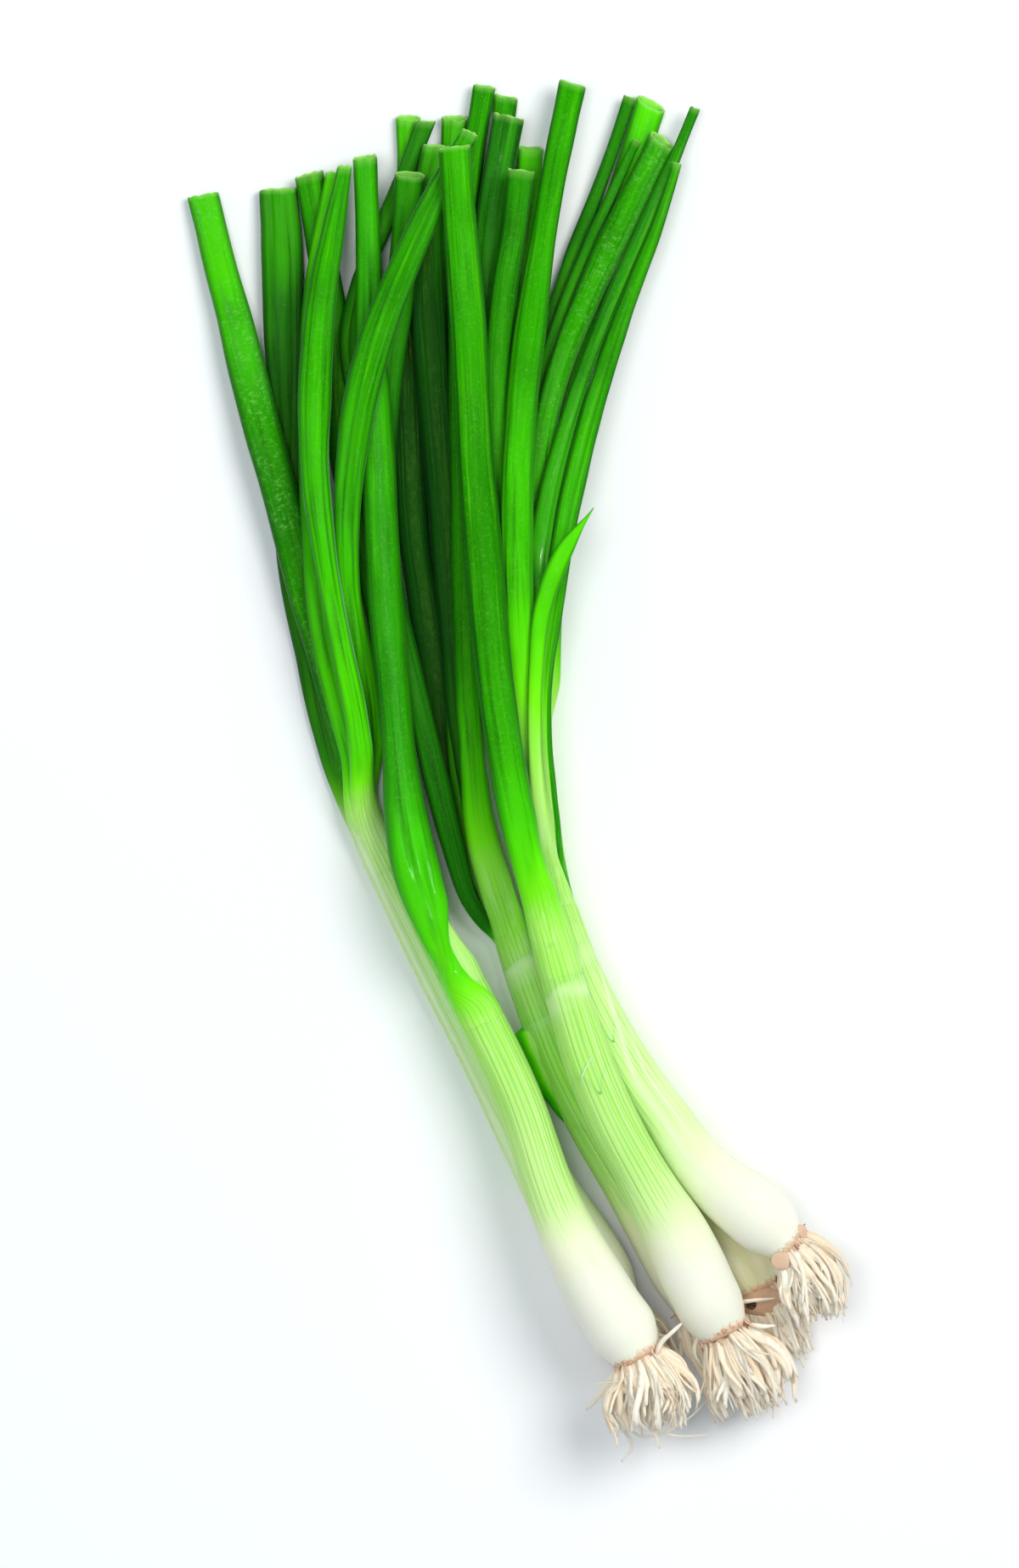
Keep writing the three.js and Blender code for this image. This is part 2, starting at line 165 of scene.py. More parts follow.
def rings_of(node):
    """Centre, half width and half height of each ring of a CAD tube. A tube has a corner in the
    middle of each end, with more edges than any other, and its rings lie around it in turn."""
    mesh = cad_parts[node].data
    spots = {}
    merged = [spots.setdefault(tuple(round(c, 6) for c in v.co), len(spots)) for v in mesh.vertices]
    corners = np.array(list(spots)) / MM
    neighbours = [set() for _ in corners]
    for polygon in mesh.polygons:
        around = [merged[v] for v in polygon.vertices]
        for one, other in zip(around, around[1:] + around[:1]):
            neighbours[one].add(other)
            neighbours[other].add(one)
    ends = sorted(range(len(corners)), key=lambda v: -len(neighbours[v]))[:2]
    first = min(ends, key=lambda v: corners[v][1])
    seen, layer, rings = {first}, {first}, []
    while layer:
        layer = set().union(*(neighbours[v] for v in layer)) - seen
        seen |= layer
        if len(layer) > 1:
            rings.append(corners[sorted(layer)])
    centres = np.array([ring.mean(axis=0) for ring in rings])
    rights = plan_rights(centres)
    halves = []
    for ring, centre, right in zip(rings, centres, rights):
        across = (ring - centre) @ right
        lift = ring[:, 2] - centre[2]
        # The mean square of a sine is a half, so this finds the oval through a ring's corners.
        halves.append([math.sqrt(2 * np.mean(across**2)), math.sqrt(2 * np.mean(lift**2))])
    return centres, np.array(halves)


def plan_forwards(centres, t=None):
    """The level direction along a line at each of its points, which follow each other as t does."""
    order = np.arange(len(centres)) if t is None else np.argsort(t)
    forwards = np.zeros_like(centres)
    forwards[order, :2] = np.gradient(centres[order, :2], axis=0)
    return unit_rows(forwards)


def plan_rights(centres, t=None):
    """The level direction to the right of a line at each of its points."""
    forwards = plan_forwards(centres, t)
    return np.stack([forwards[:, 1], -forwards[:, 0], np.zeros(len(centres))], axis=1)


# ---- Meshes from rows of points ----

def skin(rows, sides, first):
    """Faces of a closed tube of rows of points, with a point in the middle of each end."""
    faces = []
    last = first + (rows - 1) * sides
    for start in range(first, last, sides):
        for side in range(sides):
            a, b = start + side, start + (side + 1) % sides
            faces.append((a, a + sides, b + sides, b))
    for side in range(sides):
        after = (side + 1) % sides
        faces.append((first + side, first + after, last + sides))
        faces.append((last + after, last + side, last + sides + 1))
    return faces


def closed(grid):
    """The points of a grid of rows, then the middles of its first and last row."""
    flat = grid.reshape(-1, grid.shape[-1])
    return np.concatenate([flat, grid[:1].mean(axis=1), grid[-1:].mean(axis=1)])


def add_object(name, data):
    thing = bpy.data.objects.new(name, data)
    bpy.context.scene.collection.objects.link(thing)
    return thing


def make_piece(name, tubes, material, nodes=()):
    """A mesh piece that stands for some CAD nodes. Each of its tubes is a grid of points with its
    attributes, which are numbers or vectors over that grid. No point comes under the floor."""
    name = f"spring_onion_{name}"
    points, faces, attributes = [], [], {}
    for grid, values in tubes:
        grid[..., 2] = grid[..., 2].clip(min=FLOOR_GAP)
        faces += skin(*grid.shape[:2], first=sum(map(len, points)))
        points.append(closed(grid))
        for key, value in values.items():
            if np.ndim(value) < 3:
                value = np.broadcast_to(value, grid.shape[:2])[..., None]
            attributes.setdefault(key, []).append(closed(value))
    mesh = bpy.data.meshes.new(name)
    mesh.from_pydata((np.concatenate(points) * MM).tolist(), [], faces)
    for key, parts in attributes.items():
        rows = np.concatenate(parts).astype(np.float32)
        kind, field = ("FLOAT_VECTOR", "vector") if rows.shape[1] == 3 else ("FLOAT", "value")
        mesh.attributes.new(key, kind, "POINT").data.foreach_set(field, rows.ravel())
    mesh.shade_smooth()
    mesh.materials.append(material)
    piece = add_object(name, mesh)
    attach(piece, "root")
    if nodes:
        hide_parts(*nodes)


# ---- The onions ----
#
# RIPENESS gives the colour along each onion: pairs of the distance past the neck, in
# millimetres, and a place on the colour scale from ivory bulb (0) through pale stem (0.35) and
# fresh green (0.6) to deep green (1).

RIPENESS = {
    "left": [(-90, 0), (-77, 0.02), (-67, 0.1), (-56, 0.24), (-35, 0.34), (-12, 0.42), (-6, 0.5),
             (1, 0.58), (10, 0.6), (20, 0.66), (36, 0.7), (52, 0.84), (75, 0.88), (140, 0.84),
             (200, 0.8)],
    "middle": [(-88, 0), (-80, 0.08), (-68, 0.22), (-56, 0.34), (-18, 0.38), (0, 0.44), (12, 0.53),
               (20, 0.6), (28, 0.7), (42, 0.8), (90, 1), (120, 0.95), (150, 0.82), (200, 0.8)],
    "right": [(-90, 0), (-80, 0.03), (-72, 0.1), (-58, 0.19), (-20, 0.26), (-4, 0.38), (15, 0.36),
              (33, 0.46), (53, 0.54), (78, 0.68), (100, 0.73), (130, 0.84), (200, 0.86)],
    "lower_left": [(-112, 0), (-98, 0.08), (-90, 0.24), (-50, 0.3), (-2, 0.28), (6, 0.45),
                   (14, 0.58), (26, 0.62), (60, 0.68), (110, 0.8), (200, 0.86)],
    "lower_middle": [(-84, 0), (-74, 0.1), (-60, 0.28), (-40, 0.42), (-22, 0.43), (-10, 0.36),
                     (-3, 0.36), (2, 0.44), (14, 0.47), (26, 0.52), (46, 0.62), (66, 0.84),
                     (120, 0.95), (200, 0.85)],
    "lower_right": [(-130, 0), (-116, 0.08), (-104, 0.26), (-20, 0.34), (10, 0.42), (30, 0.55),
                    (60, 0.68), (100, 0.84), (200, 0.86)],
}

# A plain leaf. Places are in millimetres past the neck, and turns in degrees from the right edge
# over the top.
PLAIN_LOOK = dict(
    shade=0.0,             # how dark it is: painted shade for its place deep in the bunch, and partly its own darker tone
    bloom=0.16,            # bluish wax
    specks=0.3,            # mottling
    ribs=1.0,              # how deep its ribs are
    painted_edge_sheen=0.15,             # how strong the painted sheen along its two edges is
    wet=(-50, 500),        # from where to where it glistens, if it is a wet leaf
    least=0.0,             # its least ripeness, then its most, and the least of its right edge
    ripe=1.0,
    edge=0.0,
    fresh=(0, 1, 0),       # from where to where it gets lighter, and how much
    cut=(0.0, 0.1),        # how far its cut slopes, to the right and upwards
    open=0.2,              # whether the cut end gapes (1) or lies pressed shut (0)
    pointed=False,         # whether it ends in a point instead
    fullness=2.3,          # how square its section is
    wider=(0, 0),          # how far its left and right edges stand out, and from where to where
    creases=[],            # grooves, each with a turn, a depth, and from where to where
    lift=0.0,              # how far its base is raised
    merge=(-8, 20),        # where it turns from its stem's shape into its own
    split=None,            # the same on its right, where its sheath has opened
    notch=(0, -1, 1),      # how far it is cut in there, and from where to where
    wrap_edge=None)        # the edge of its sheath on the stem: places, and its turn there

# How each leaf differs from it.
LEAF_LOOKS = {
    "left_front": dict(
        bloom=0.05, cut=(0.1, 0.3), open=0.8, merge=(-2, 10), notch=(3.6, -4, 20), lift=0.7,
        fullness=2.0,
        wrap_edge=[(-12, -70), (-9, -20), (-6.7, 20), (-4.3, 42), (-1.2, 67), (1.7, 76), (8, 80)],
        wet=(-20, 40), creases=[(66, 0.9, 15, 38), (98, 0.6, 20, 50), (75, 0.4, 150, 182)]),
    "left_left": dict(shade=0.2, cut=(0.1, 0.2)),
    "left_right": dict(
        shade=0.45, bloom=0.6, cut=(0.3, 0.1), wider=(0, -1.6, -12, 60), creases=[(80, 0.5, 60, 180)]),
    "middle_front": dict(
        cut=(0.06, 0.1), merge=(-7, 14), split=(3, 13), notch=(1.1, 8, 30),
        creases=[(150, 0.4, 30, 170), (52, 0.3, 60, 185), (118, 0.5, 172, 190)]),
    "middle_back_left": dict(
        shade=0.5, bloom=0.7, ribs=1.5, cut=(-0.05, 0.1), creases=[(110, 0.4, 60, 170)]),
    "middle_back_right": dict(shade=0.15, cut=(-0.1, 0.2), creases=[(62, 0.3, 40, 170)]),
    "right_front": dict(cut=(-0.1, 0.15), creases=[(35, 0.3, 50, 160), (140, 0.3, 60, 170)]),
    "right_side": dict(
        shade=0.15, bloom=0.6, ribs=1.4, edge=0.86, wider=(0.5, 0.2), creases=[(85, 0.5, 40, 150)]),
    "right_back": dict(shade=0.3, bloom=0.7, ribs=1.4, wider=(0.8, 0), creases=[(60, 0.4, 60, 170)]),
    "right_young": dict(ripe=0.61, pointed=True, wider=(0.1, 0.3)),
    "lower_left_outer": dict(
        shade=0.8, bloom=1.0, ribs=1.7, cut=(0.0, 0.15), wider=(0.4, 0.5), fresh=(110, 152, 0.16),
        creases=[(70, 0.3, 60, 160), (115, 0.3, 60, 160)]),
    "lower_left_long": dict(
        shade=0.15, bloom=0.9, specks=1.2, cut=(-0.08, 0.1), wider=(0.4, 0), merge=(-4, 8),
        least=0.92, fresh=(80, 140, 0.26)),
    "lower_left_back": dict(shade=0.15, bloom=0.4, cut=(0.2, 0.3), open=0.5, fresh=(110, 145, 0.24)),
    "lower_left_front": dict(bloom=0.4, painted_edge_sheen=1.0, cut=(0.1, 0.5), open=0.2, creases=[
        (25, 0.6, 10, 100), (60, 0.35, 40, 140), (125, 0.35, 50, 160), (70, 0.8, 128, 168)]),
    "lower_left_crossing": dict(
        shade=0.1, bloom=0.4, painted_edge_sheen=0.9, ribs=1.2, cut=(0.1, 0.2), wider=(0, 1.6, -5, 60),
        creases=[(80, 0.6, 60, 162), (105, 0.5, 70, 166), (55, 0.3, 30, 150)]),
    "lower_middle_front": dict(shade=0.08, bloom=0.1, cut=(0.0, 0.3), merge=(-6, 16)),
    "lower_middle_thin": dict(shade=0.6, bloom=0.3, open=0.7, cut=(0, 0.4), fresh=(172, 196, 0.2)),
    "lower_middle_broad": dict(
        shade=0.88, bloom=0.7, ribs=1.3, cut=(0.1, 0.2), wider=(0.4, 0), fresh=(150, 186, 0.22)),
    "lower_middle_dark": dict(
        shade=0.9, open=0.8, cut=(0.0, 0.4), merge=(-3, 8), least=0.9, wider=(1.6, 1.0, 10, 170),
        fresh=(160, 196, 0.3)),
    "lower_middle_side": dict(
        shade=0.6, open=0.9, cut=(0.0, 0.35), merge=(-3, 8), least=0.86, fresh=(120, 160, 0.12)),
    "lower_right_left": dict(shade=0.3),
    "lower_right_back_left": dict(shade=0.35, open=0.7, cut=(0, 0.3), fresh=(112, 140, 0.22)),
    "lower_right_front": dict(
        shade=0.05, bloom=0.8, specks=0.9, cut=(-0.2, 0.5), open=0.6, creases=[(60, 0.3, 60, 170)]),
    "lower_right_thin": dict(shade=0.4, bloom=0.6),
    "lower_right_narrow": dict(shade=0.5, bloom=0.5),
    "lower_right_back_right": dict(
        bloom=0.6, open=0.8, cut=(-0.2, 0.5), wider=(0, 1.8), fresh=(130, 165, 0.3)),
}
WET_LEAVES = {"left_front", "middle_back_left", "right_back"}


def surface(centres, half_widths, half_heights, angles, t=None, fullness=STEM_FULLNESS):
    """Points on ovals around a line. A fullness over 2 squares the ovals off a little."""
    cosines, sines = np.cos(angles), np.sin(angles)
    across = np.sign(cosines) * np.abs(cosines) ** (2 / fullness) * half_widths
    lift = np.sign(sines) * np.abs(sines) ** (2 / fullness) * half_heights
    points = centres[:, None, :] + plan_rights(centres, t)[:, None, :] * across[..., None]
    points[..., 2] += lift
    return points


def tube_place(t, angles, radius):
    """A place on a straight round tube, for patterns that run along a bent one."""
    t, angles = np.broadcast_arrays(t, angles)
    return np.stack([np.cos(angles) * radius, np.sin(angles) * radius, t], axis=-1)


# Pale bands on the stems: turn in degrees, width, and from where to where past the neck. Past
# the place in SLANTS, a stem's bands turn by so many degrees a millimetre.
PALE_BANDS = {
    "left": [(70, 16, -84, -60)],
    # The right onion's bands are painted highlights, streaks of light along its stem.
    "right": [(96, 10, -84, -14), (66, 6, -72, -30)],
    "lower_left": [(140, 22, -100, 6), (112, 9, -96, -10), (80, 12, -80, -20), (60, 8, -60, 0)],
}
SLANTS = {"right": (-46, -2.6)}


class Stem(Tube):
    """A stem's tube, with the small unevenness that its leaves share where they come out of it."""

    def __init__(self, onion):
        super().__init__(f"bulb_{onion}")
        self.onion = onion
        self.neck = self.length + NECK_GAP

    def swell(self, t, angles):
        rng = rng_for(self.onion)
        return ripple(t, angles, rng, 60, 2) * 0.14 + ripple(t, angles, rng, 25, 3) * 0.05

    def around(self, past_neck, angles, share):
        """Points round it at distances past the neck, at a share of its thickness."""
        t = self.neck + past_neck
        centres, widths, heights = self.at(t)
        swell = self.swell(t[:, None], angles)
        return surface(
            centres, (widths[:, None] + swell) * share, (heights[:, None] + swell) * share, angles,
            past_neck)

    def ripe(self, t, angles):
        """Ripeness at distances past the neck, a little uneven."""
        rng = rng_for(self.onion + " colour")
        places, values = zip(*RIPENESS[self.onion])
        return np.interp(t, places, values) + ripple(t, angles, rng, 30, 3) * 0.014

    def pale(self, t, angles):
        """How far the pale bands cover it, at distances past the neck. On the right onion they are
        painted highlights.
        """
        place, slant = SLANTS.get(self.onion, (0, 0))
        turned = slant * (t - place).clip(min=0)
        return sum(
            (bump_at(angles, turn + turned, width) * within(start, end, 12, t)
             for turn, width, start, end in PALE_BANDS.get(self.onion, [])),
            np.zeros(np.broadcast(t, angles).shape))


def turns(sides):
    """Angles round a tube, from its underside: 0 is its right edge and a quarter turn its top."""
    return np.linspace(-math.pi / 2, 1.5 * math.pi, sides, endpoint=False)[None, :]


def bump_at(angles, degrees, width):
    """1 at one angle, falling to 0 at a width in degrees to either side."""
    away = np.abs((angles - np.radians(degrees) + math.pi) % (2 * math.pi) - math.pi)
    return smoothstep(math.radians(width), 0, away)


def leaf_rows(look, length):
    """Where a leaf's rows lie: along the outside, over the cut rim, and back down inside the
    hollow. With them, how far into its wall each one is, and how much of the cut it shows."""
    outer = np.arange(-LEAF_INSIDE, length, LEAF_STEP)
    if look["wrap_edge"]:
        outer = np.union1d(np.arange(-LEAF_INSIDE, 10, 0.4), outer[outer > 10])
    outer = np.append(outer[outer < length - 0.8], [length - 0.5, length - 0.15])
    inner = length - np.append([0.6, 1.5], np.arange(3, HOLLOW_DEPTH, 2.5))
    t = np.concatenate([outer, [length, length - 0.1], inner])
    into_wall = np.concatenate([np.zeros(len(outer) - 1), [0.15, 0.35, 0.8], np.ones(len(inner))])
    cut = np.concatenate([
        smoothstep(1.1, 0, length - outer) * 0.4, [0.9, 1.0], np.full(len(inner), 0.5)])
    return t, into_wall, cut


def own_shape(look, tube, t, into_wall, angles, rng):
    """A leaf's shape further out: its middle line, half sizes and points, and its grooves."""
    rows, from_tip = t[:, None], tube.length - t
    centres, widths, heights = tube.from_below(t)
    centres[:, 2] += look["lift"] * smoothstep(-8, -2, t) * smoothstep(22, 8, t)
    inset = np.minimum(WALL, 0.4 * heights) * into_wall
    if look["pointed"]:
        taper = mix(0.12, 1, np.sin(np.clip(from_tip / 13, 0, 1) * math.pi / 2))
        widths, heights = widths * 1.2 * taper, heights * taper
    else:
        # A knife flattens a hollow leaf a little where it cuts it.
        pressed = 1 - smoothstep(0, 9, from_tip)
        widths = widths * (1 + 0.05 * pressed)
        heights = heights * (1 + mix(-0.45, 0.05, look["open"]) * pressed)

    dents = ripple(rows, angles, rng, 45, 2) * 0.16 + ripple(rows, angles, rng, 16, 3) * 0.05
    grooves = np.zeros(dents.shape)
    for turn, depth, start, end in look["creases"]:
        groove = bump_at(angles, turn + ripple(rows, 0 * rows, rng, 50, 0) * 4, 14)
        groove = groove * within(start, end, 15, rows)
        dents = dents - depth * groove
        grooves = np.maximum(grooves, groove * min(1, depth * 2.5))
    dents = np.maximum(dents, -0.45 * heights[:, None]) - inset[:, None]
    points = surface(
        centres, np.maximum(widths[:, None] + dents, 0.12),
        np.maximum(heights[:, None] + dents, 0.1), angles, t, look["fullness"])

    # Edges that stand out further, and the notch where the sheath has opened.
    rights = plan_rights(centres, t)[:, None, :]
    left, right, start, end = (*look["wider"], 0, tube.length)[:4]
    spread = right * np.cos(angles).clip(min=0) + left * np.cos(angles).clip(max=0)
    points += rights * (spread * within(start, end - 2, 20, rows))[..., None]
    depth, start, end = look["notch"]
    cut_in = depth * smoothstep(start, start + 6, rows) * smoothstep(end, start + 10, rows)
    points -= rights * (cut_in * smoothstep(-0.5, 0.95, np.cos(angles)))[..., None]
    return centres, widths, heights, points, grooves


def shape_on_stem(look, stem, t, angles, wrap):
    """A leaf's points where it wraps its stem at some share of the stem's thickness, and the
    angles round the stem that they lie at."""
    rows = t[:, None]
    wrap = wrap - 0.035 * (1 - smoothstep(-LEAF_INSIDE, -LEAF_INSIDE + 5, t))
    wrap = (wrap * (1 - 0.35 * smoothstep(0, 20, t)))[:, None] + 0 * angles
    stem_angles = 0 * rows + angles
    if look["wrap_edge"]:
        # The corners that come at the leaf's right edge further out follow the edge of its
        # sheath, and those below them dive into the stem.
        places, edges = np.array(look["wrap_edge"], float).T
        edge = np.radians(through(places, edges[:, None], np.clip(t, places[0], places[-1])))
        below = (angles + math.pi / 2) / (math.pi / 2)
        above = angles / (1.5 * math.pi)
        turned = np.where(
            angles < 0, mix(-math.pi / 2, edge, below), mix(edge, 1.5 * math.pi, above))
        stem_angles = mix(stem_angles, turned, smoothstep(places[0] - 1, places[0] + 2, rows))
        dive = smoothstep(-0.02, -0.1, angles) * smoothstep(-1.57, -1.2, angles)
        wrap = wrap - 0.1 * dive * smoothstep(places[0], places[0] + 2, rows)
    return stem.around(t, stem_angles, wrap), stem_angles


def build_leaf(name, stem, material):
    look = {**PLAIN_LOOK, **LEAF_LOOKS[name]}
    tube = Tube(f"leaf_{name}")
    rng = rng_for(name)
    angles = turns(LEAF_SIDES)
    t, into_wall, cut = leaf_rows(look, tube.length)
    rows, from_tip = t[:, None], tube.length - t
    centres, widths, heights, own_points, grooves = own_shape(
        look, tube, t, into_wall, angles, rng)
    wrap = 0.93
    if name == f"{stem.onion}_front":
        wrap = 1.02 if look["wrap_edge"] else 1.012
    stem_points, stem_angles = shape_on_stem(look, stem, t, angles, wrap)
    own = np.repeat(smoothstep(*look["merge"], rows), LEAF_SIDES, axis=1)
    if look["split"]:
        own = mix(own, smoothstep(*look["split"], rows), smoothstep(0.1, 0.7, np.cos(angles)))
    points = mix(stem_points, own_points, own[..., None])

    if not look["pointed"]:
        # The cut is a little aslant, with an uneven edge.
        slope = look["cut"][0] * widths[:, None] * np.cos(angles)
        slope = slope - look["cut"][1] * heights[:, None] * np.sin(angles)
        slope = slope + ripple(0 * rows, angles, rng, 10, 9) * 0.2 + 0.6
        slope = slope * smoothstep(14, 0, from_tip)[:, None]
        points += plan_forwards(centres, t)[:, None, :] * slope[..., None]
    points[..., 2] = points[..., 2].clip(min=LEAF_GAP)

    ripe = np.clip(stem.ripe(rows, angles), look["least"] * own, look["ripe"])
    on_edge = smoothstep(0.1, 0.5, np.cos(angles)) * smoothstep(-6, 4, rows)
    start, end, lighter = look["fresh"]
    fresh = smoothstep(start, end, rows)
    to_side = np.abs(np.cos(angles))
    make_piece(f"leaf_{name}", [(points, {
        "tube": tube_place(
            rows, mix(stem_angles, angles, smoothstep(-10, 0, rows)),
            mix(VEIN_RADIUS, float(np.mean(tube.halves)), own)),
        "ripe": np.maximum(ripe, look["edge"] * on_edge) - lighter * fresh,
        "cut": cut[:, None],
        # Painted shade, which fades where the leaf gets lighter.
        "shade": look["shade"] * (1 - min(1, 2.5 * lighter) * fresh) * own,
        "bloom": look["bloom"] * own,
        "specks": look["specks"] * own,
        "ribs": look["ribs"],
        "wet": within(*look["wet"], 15, rows),
        # Painted shade towards its sides and in its grooves.
        "sides": np.maximum(smoothstep(0.5, 1.0, to_side) * smoothstep(5, 40, rows), 0.5 * grooves),
        "painted_edge_sheen": look["painted_edge_sheen"] * smoothstep(0.955, 0.995, to_side) * own,
        "veins": 1 - smoothstep(0, 30, rows),
        "pale": stem.pale(rows, angles) * (1 - own),
    })], material, [f"leaf_{name}"])


# How far a khaki mottling covers the lower part of a stem, and how round a bulb stays close to its
# root plate.
KHAKI_MOTTLING = {"lower_middle": 0.12, "lower_right": 1.0}
BULGES = {"left": 0.06, "middle": 0.07}


def build_stem(onion, material):
    stem = Stem(onion)
    last = stem.length + STEM_INSIDE
    t = np.concatenate([[-PLATE, -1.8, -1.5, -1.0, -0.5], np.arange(0, last, STEM_STEP)])
    rows, angles = t[:, None], turns(STEM_SIDES)
    centres, half_widths, half_heights = stem.at(t)
    # The bulb rounds off to its root plate, and the stem narrows among its leaves.
    closing = np.clip((t + PLATE) / 2.2, 0, 1)
    scale = mix(0.72, 1, np.sqrt(1 - (1 - closing) ** 2))
    scale = scale + BULGES.get(onion, 0) * smoothstep(-1, 2, t) * smoothstep(11, 4, t)
    scale = (scale * (1 - 0.8 * smoothstep(stem.length - 1, last, t)))[:, None]
    swell = stem.swell(rows, angles)
    points = surface(
        centres, half_widths[:, None] * scale + swell, half_heights[:, None] * scale + swell,
        angles)
    past_neck = rows - stem.neck
    # Inside its leaves a stem is pale.
    covered = smoothstep(-9, -7, past_neck) if onion == "left" else smoothstep(-3.4, -2.2, past_neck)
    make_piece(f"bulb_{onion}", [(points, {
        "tube": tube_place(past_neck, angles, VEIN_RADIUS),
        "ripe": np.minimum(stem.ripe(past_neck, angles), mix(1, 0.4, covered)),
        "veins": 1,
        "pale": stem.pale(past_neck, angles),
        "khaki_mottling": KHAKI_MOTTLING.get(onion, 0) * (1 - smoothstep(-60, -20, past_neck)),
        "plate": 1 - smoothstep(-1.8, 1.6, rows),
    })], material, [f"bulb_{onion}"])
    return stem


# Sheaths: the edges of outer leaf bases that end on a stem. Each starts and ends at a distance
# past the neck, and reaches further along the side that its turn points to. layers is how thick
# it is.
SHEATHS = {
    "middle": [dict(name="collar", start=-40, end=-12.5, reach=1.4, turn=10, pale=0.5)],
    "lower_middle": [
        dict(name="outer", start=-52, end=-16.5, reach=2.0, turn=20, pale=0.2),
        dict(name="collar", start=-28, end=-2.5, reach=1.2, turn=-20, pale=0.75, layers=3)],
    "right": [dict(name="collar", start=-36, end=-12, reach=2, turn=20, pale=0.4)],
}
SHEATH_THICKNESS = 0.035
# Where the torn strip and the loose fibre start and end, past the neck.
STRIP_REACH = (-43.5, -19.5)
FIBRE_REACH = (-36, -30.5)


def build_sheath(stem, sheath, material):
    """A thin collar round a stem that thickens and ends in a soft uneven edge."""
    rng = rng_for(stem.onion + sheath["name"])
    angles = turns(STEM_SIDES)
    edge = sheath["end"] + sheath["reach"] * np.cos(angles - math.radians(sheath["turn"]))
    edge = edge + ripple(0 * angles, angles, rng, 10, 6) * 0.7
    share = np.append(np.linspace(0, 1, 60), [1.02, 1.04])[:, None]
    past_neck = mix(sheath["start"], edge, share)
    from_edge = past_neck - edge
    # Its last rows dive into the stem, so that no end shows.
    rise = sheath.get("layers", 2) * smoothstep(0, 0.6, share)
    rise = rise * smoothstep(0.5, -2.0, from_edge) - 60 * (share - 0.98).clip(min=0)
    centres, widths, heights = stem.at((past_neck + stem.neck).ravel())
    shape = past_neck.shape
    rights = plan_rights(stem.at(np.arange(stem.length + STEM_INSIDE))[0])
    row_of = np.clip(past_neck + stem.neck, 0, len(rights) - 1).astype(int)
    swell = stem.swell(past_neck + stem.neck, angles) + rise * SHEATH_THICKNESS
    across = np.cos(angles) * (widths.reshape(shape) + swell)
    points = centres.reshape(*shape, 3) + rights[row_of] * across[..., None]
    points[..., 2] += np.sin(angles) * (heights.reshape(shape) + swell)
    uneven = 0.75 + ripple(past_neck, angles, rng, 8, 3) * 0.4
    pale = sheath["pale"] * uneven * smoothstep(-8, -3, from_edge) * smoothstep(0.6, -2.4, from_edge)
    pale = np.maximum(pale, stem.pale(past_neck, angles))
    make_piece(f"sheath_{stem.onion}_{sheath['name']}", [(points, {
        "tube": tube_place(past_neck, angles, VEIN_RADIUS),
        "ripe": np.minimum(stem.ripe(past_neck, angles), 0.44),
        "veins": 1 - pale,
        "pale": pale,
    })], material)


# Single roots that stray out of a tuft: points from the plate outwards, in millimetres from the
# middle of the plate (along X, Y and Z), and a thickness.
STRAYS = {
    "left": [
        ([(-4, -5, -1), (-5.5, -12, -6), (-1, -18.6, -10), (5, -19, -11), (11.8, -15.2, -10),
          (16.6, -9.8, -9), (17, -3.4, -8)], 0.8),
        ([(-5, -8, -3), (-6, -14, -8), (-1.4, -21, -12), (-3.8, -25.4, -12)], 0.9),
        ([(1, -8, -4), (3, -15, -10), (6, -18.6, -12), (11, -19.4, -12), (17, -19, -12)], 0.8),
        ([(-3, -2, 0), (-8, -8, -6), (-12, -13.2, -11)], 1.9),
        ([(4, 0, 3), (5.5, 3.5, 4), (7.6, 5.6, 5), (10.2, 8.0, 5)], 1.1),
    ],
    "middle": [
        ([(-4, 0, 2), (-6.5, -1.5, 1), (-7, -5, -2), (-4.6, -9, -5)], 1.0),
        ([(6, 2, 3), (9, 1.6, 3), (12, 1.8, 2)], 1.1),
    ],
    "right": [([(0, -3, 2), (-1.5, -12, -3), (1, -21, -7), (2.5, -25, -8)], 1.1)],
    "lower_right": [([(-5, -2.9, 8), (0, -2.3, 8.4), (4, -1.9, 8)], 1.3)],
}


# Scars and stumps of the root plates: where (from the middle of the plate), half sizes, how they
# lean to the right in degrees, how light they are (below 0 for a hole: a flat lump painted dark as
# painted shade for the hollow), and how ragged.
SCARS = {
    "right": [
        dict(place=(-2.2, -3.3, 3.9), size=(2.4, 2.1, 0.6), lean=-22, tone=0.5, ragged=0.2),
        dict(place=(2.4, 3.2, 1.8), size=(1.3, 2.0, 1.5), lean=40, tone=0.45, ragged=0.3),
        dict(place=(0.5, 0.9, 3.6), size=(2.2, 0.9, 0.6), lean=10, tone=0.5, ragged=0.3),
        dict(place=(-3.6, -1.0, 3.0), size=(0.6, 0.5, 0.4), lean=-20, tone=0.0, ragged=0.2)],
    "middle": [
        dict(place=(-2.4, -1.4, 4.0), size=(0.45, 0.7, 0.4), lean=-10, tone=0.0, ragged=0.2),
        dict(place=(0.2, -0.5, 4.4), size=(0.5, 0.8, 0.4), lean=0, tone=0.02, ragged=0.2)],
    "lower_right": [
        dict(place=(1.2, -2.7, 0.2), size=(5.2, 4.4, 4.9), lean=0, tone=0.25, ragged=0.1),
        dict(place=(-1.5, -3.6, 4.6), size=(1.3, 1.15, 0.6), lean=-12, tone=-1.0, ragged=0.06)],
}


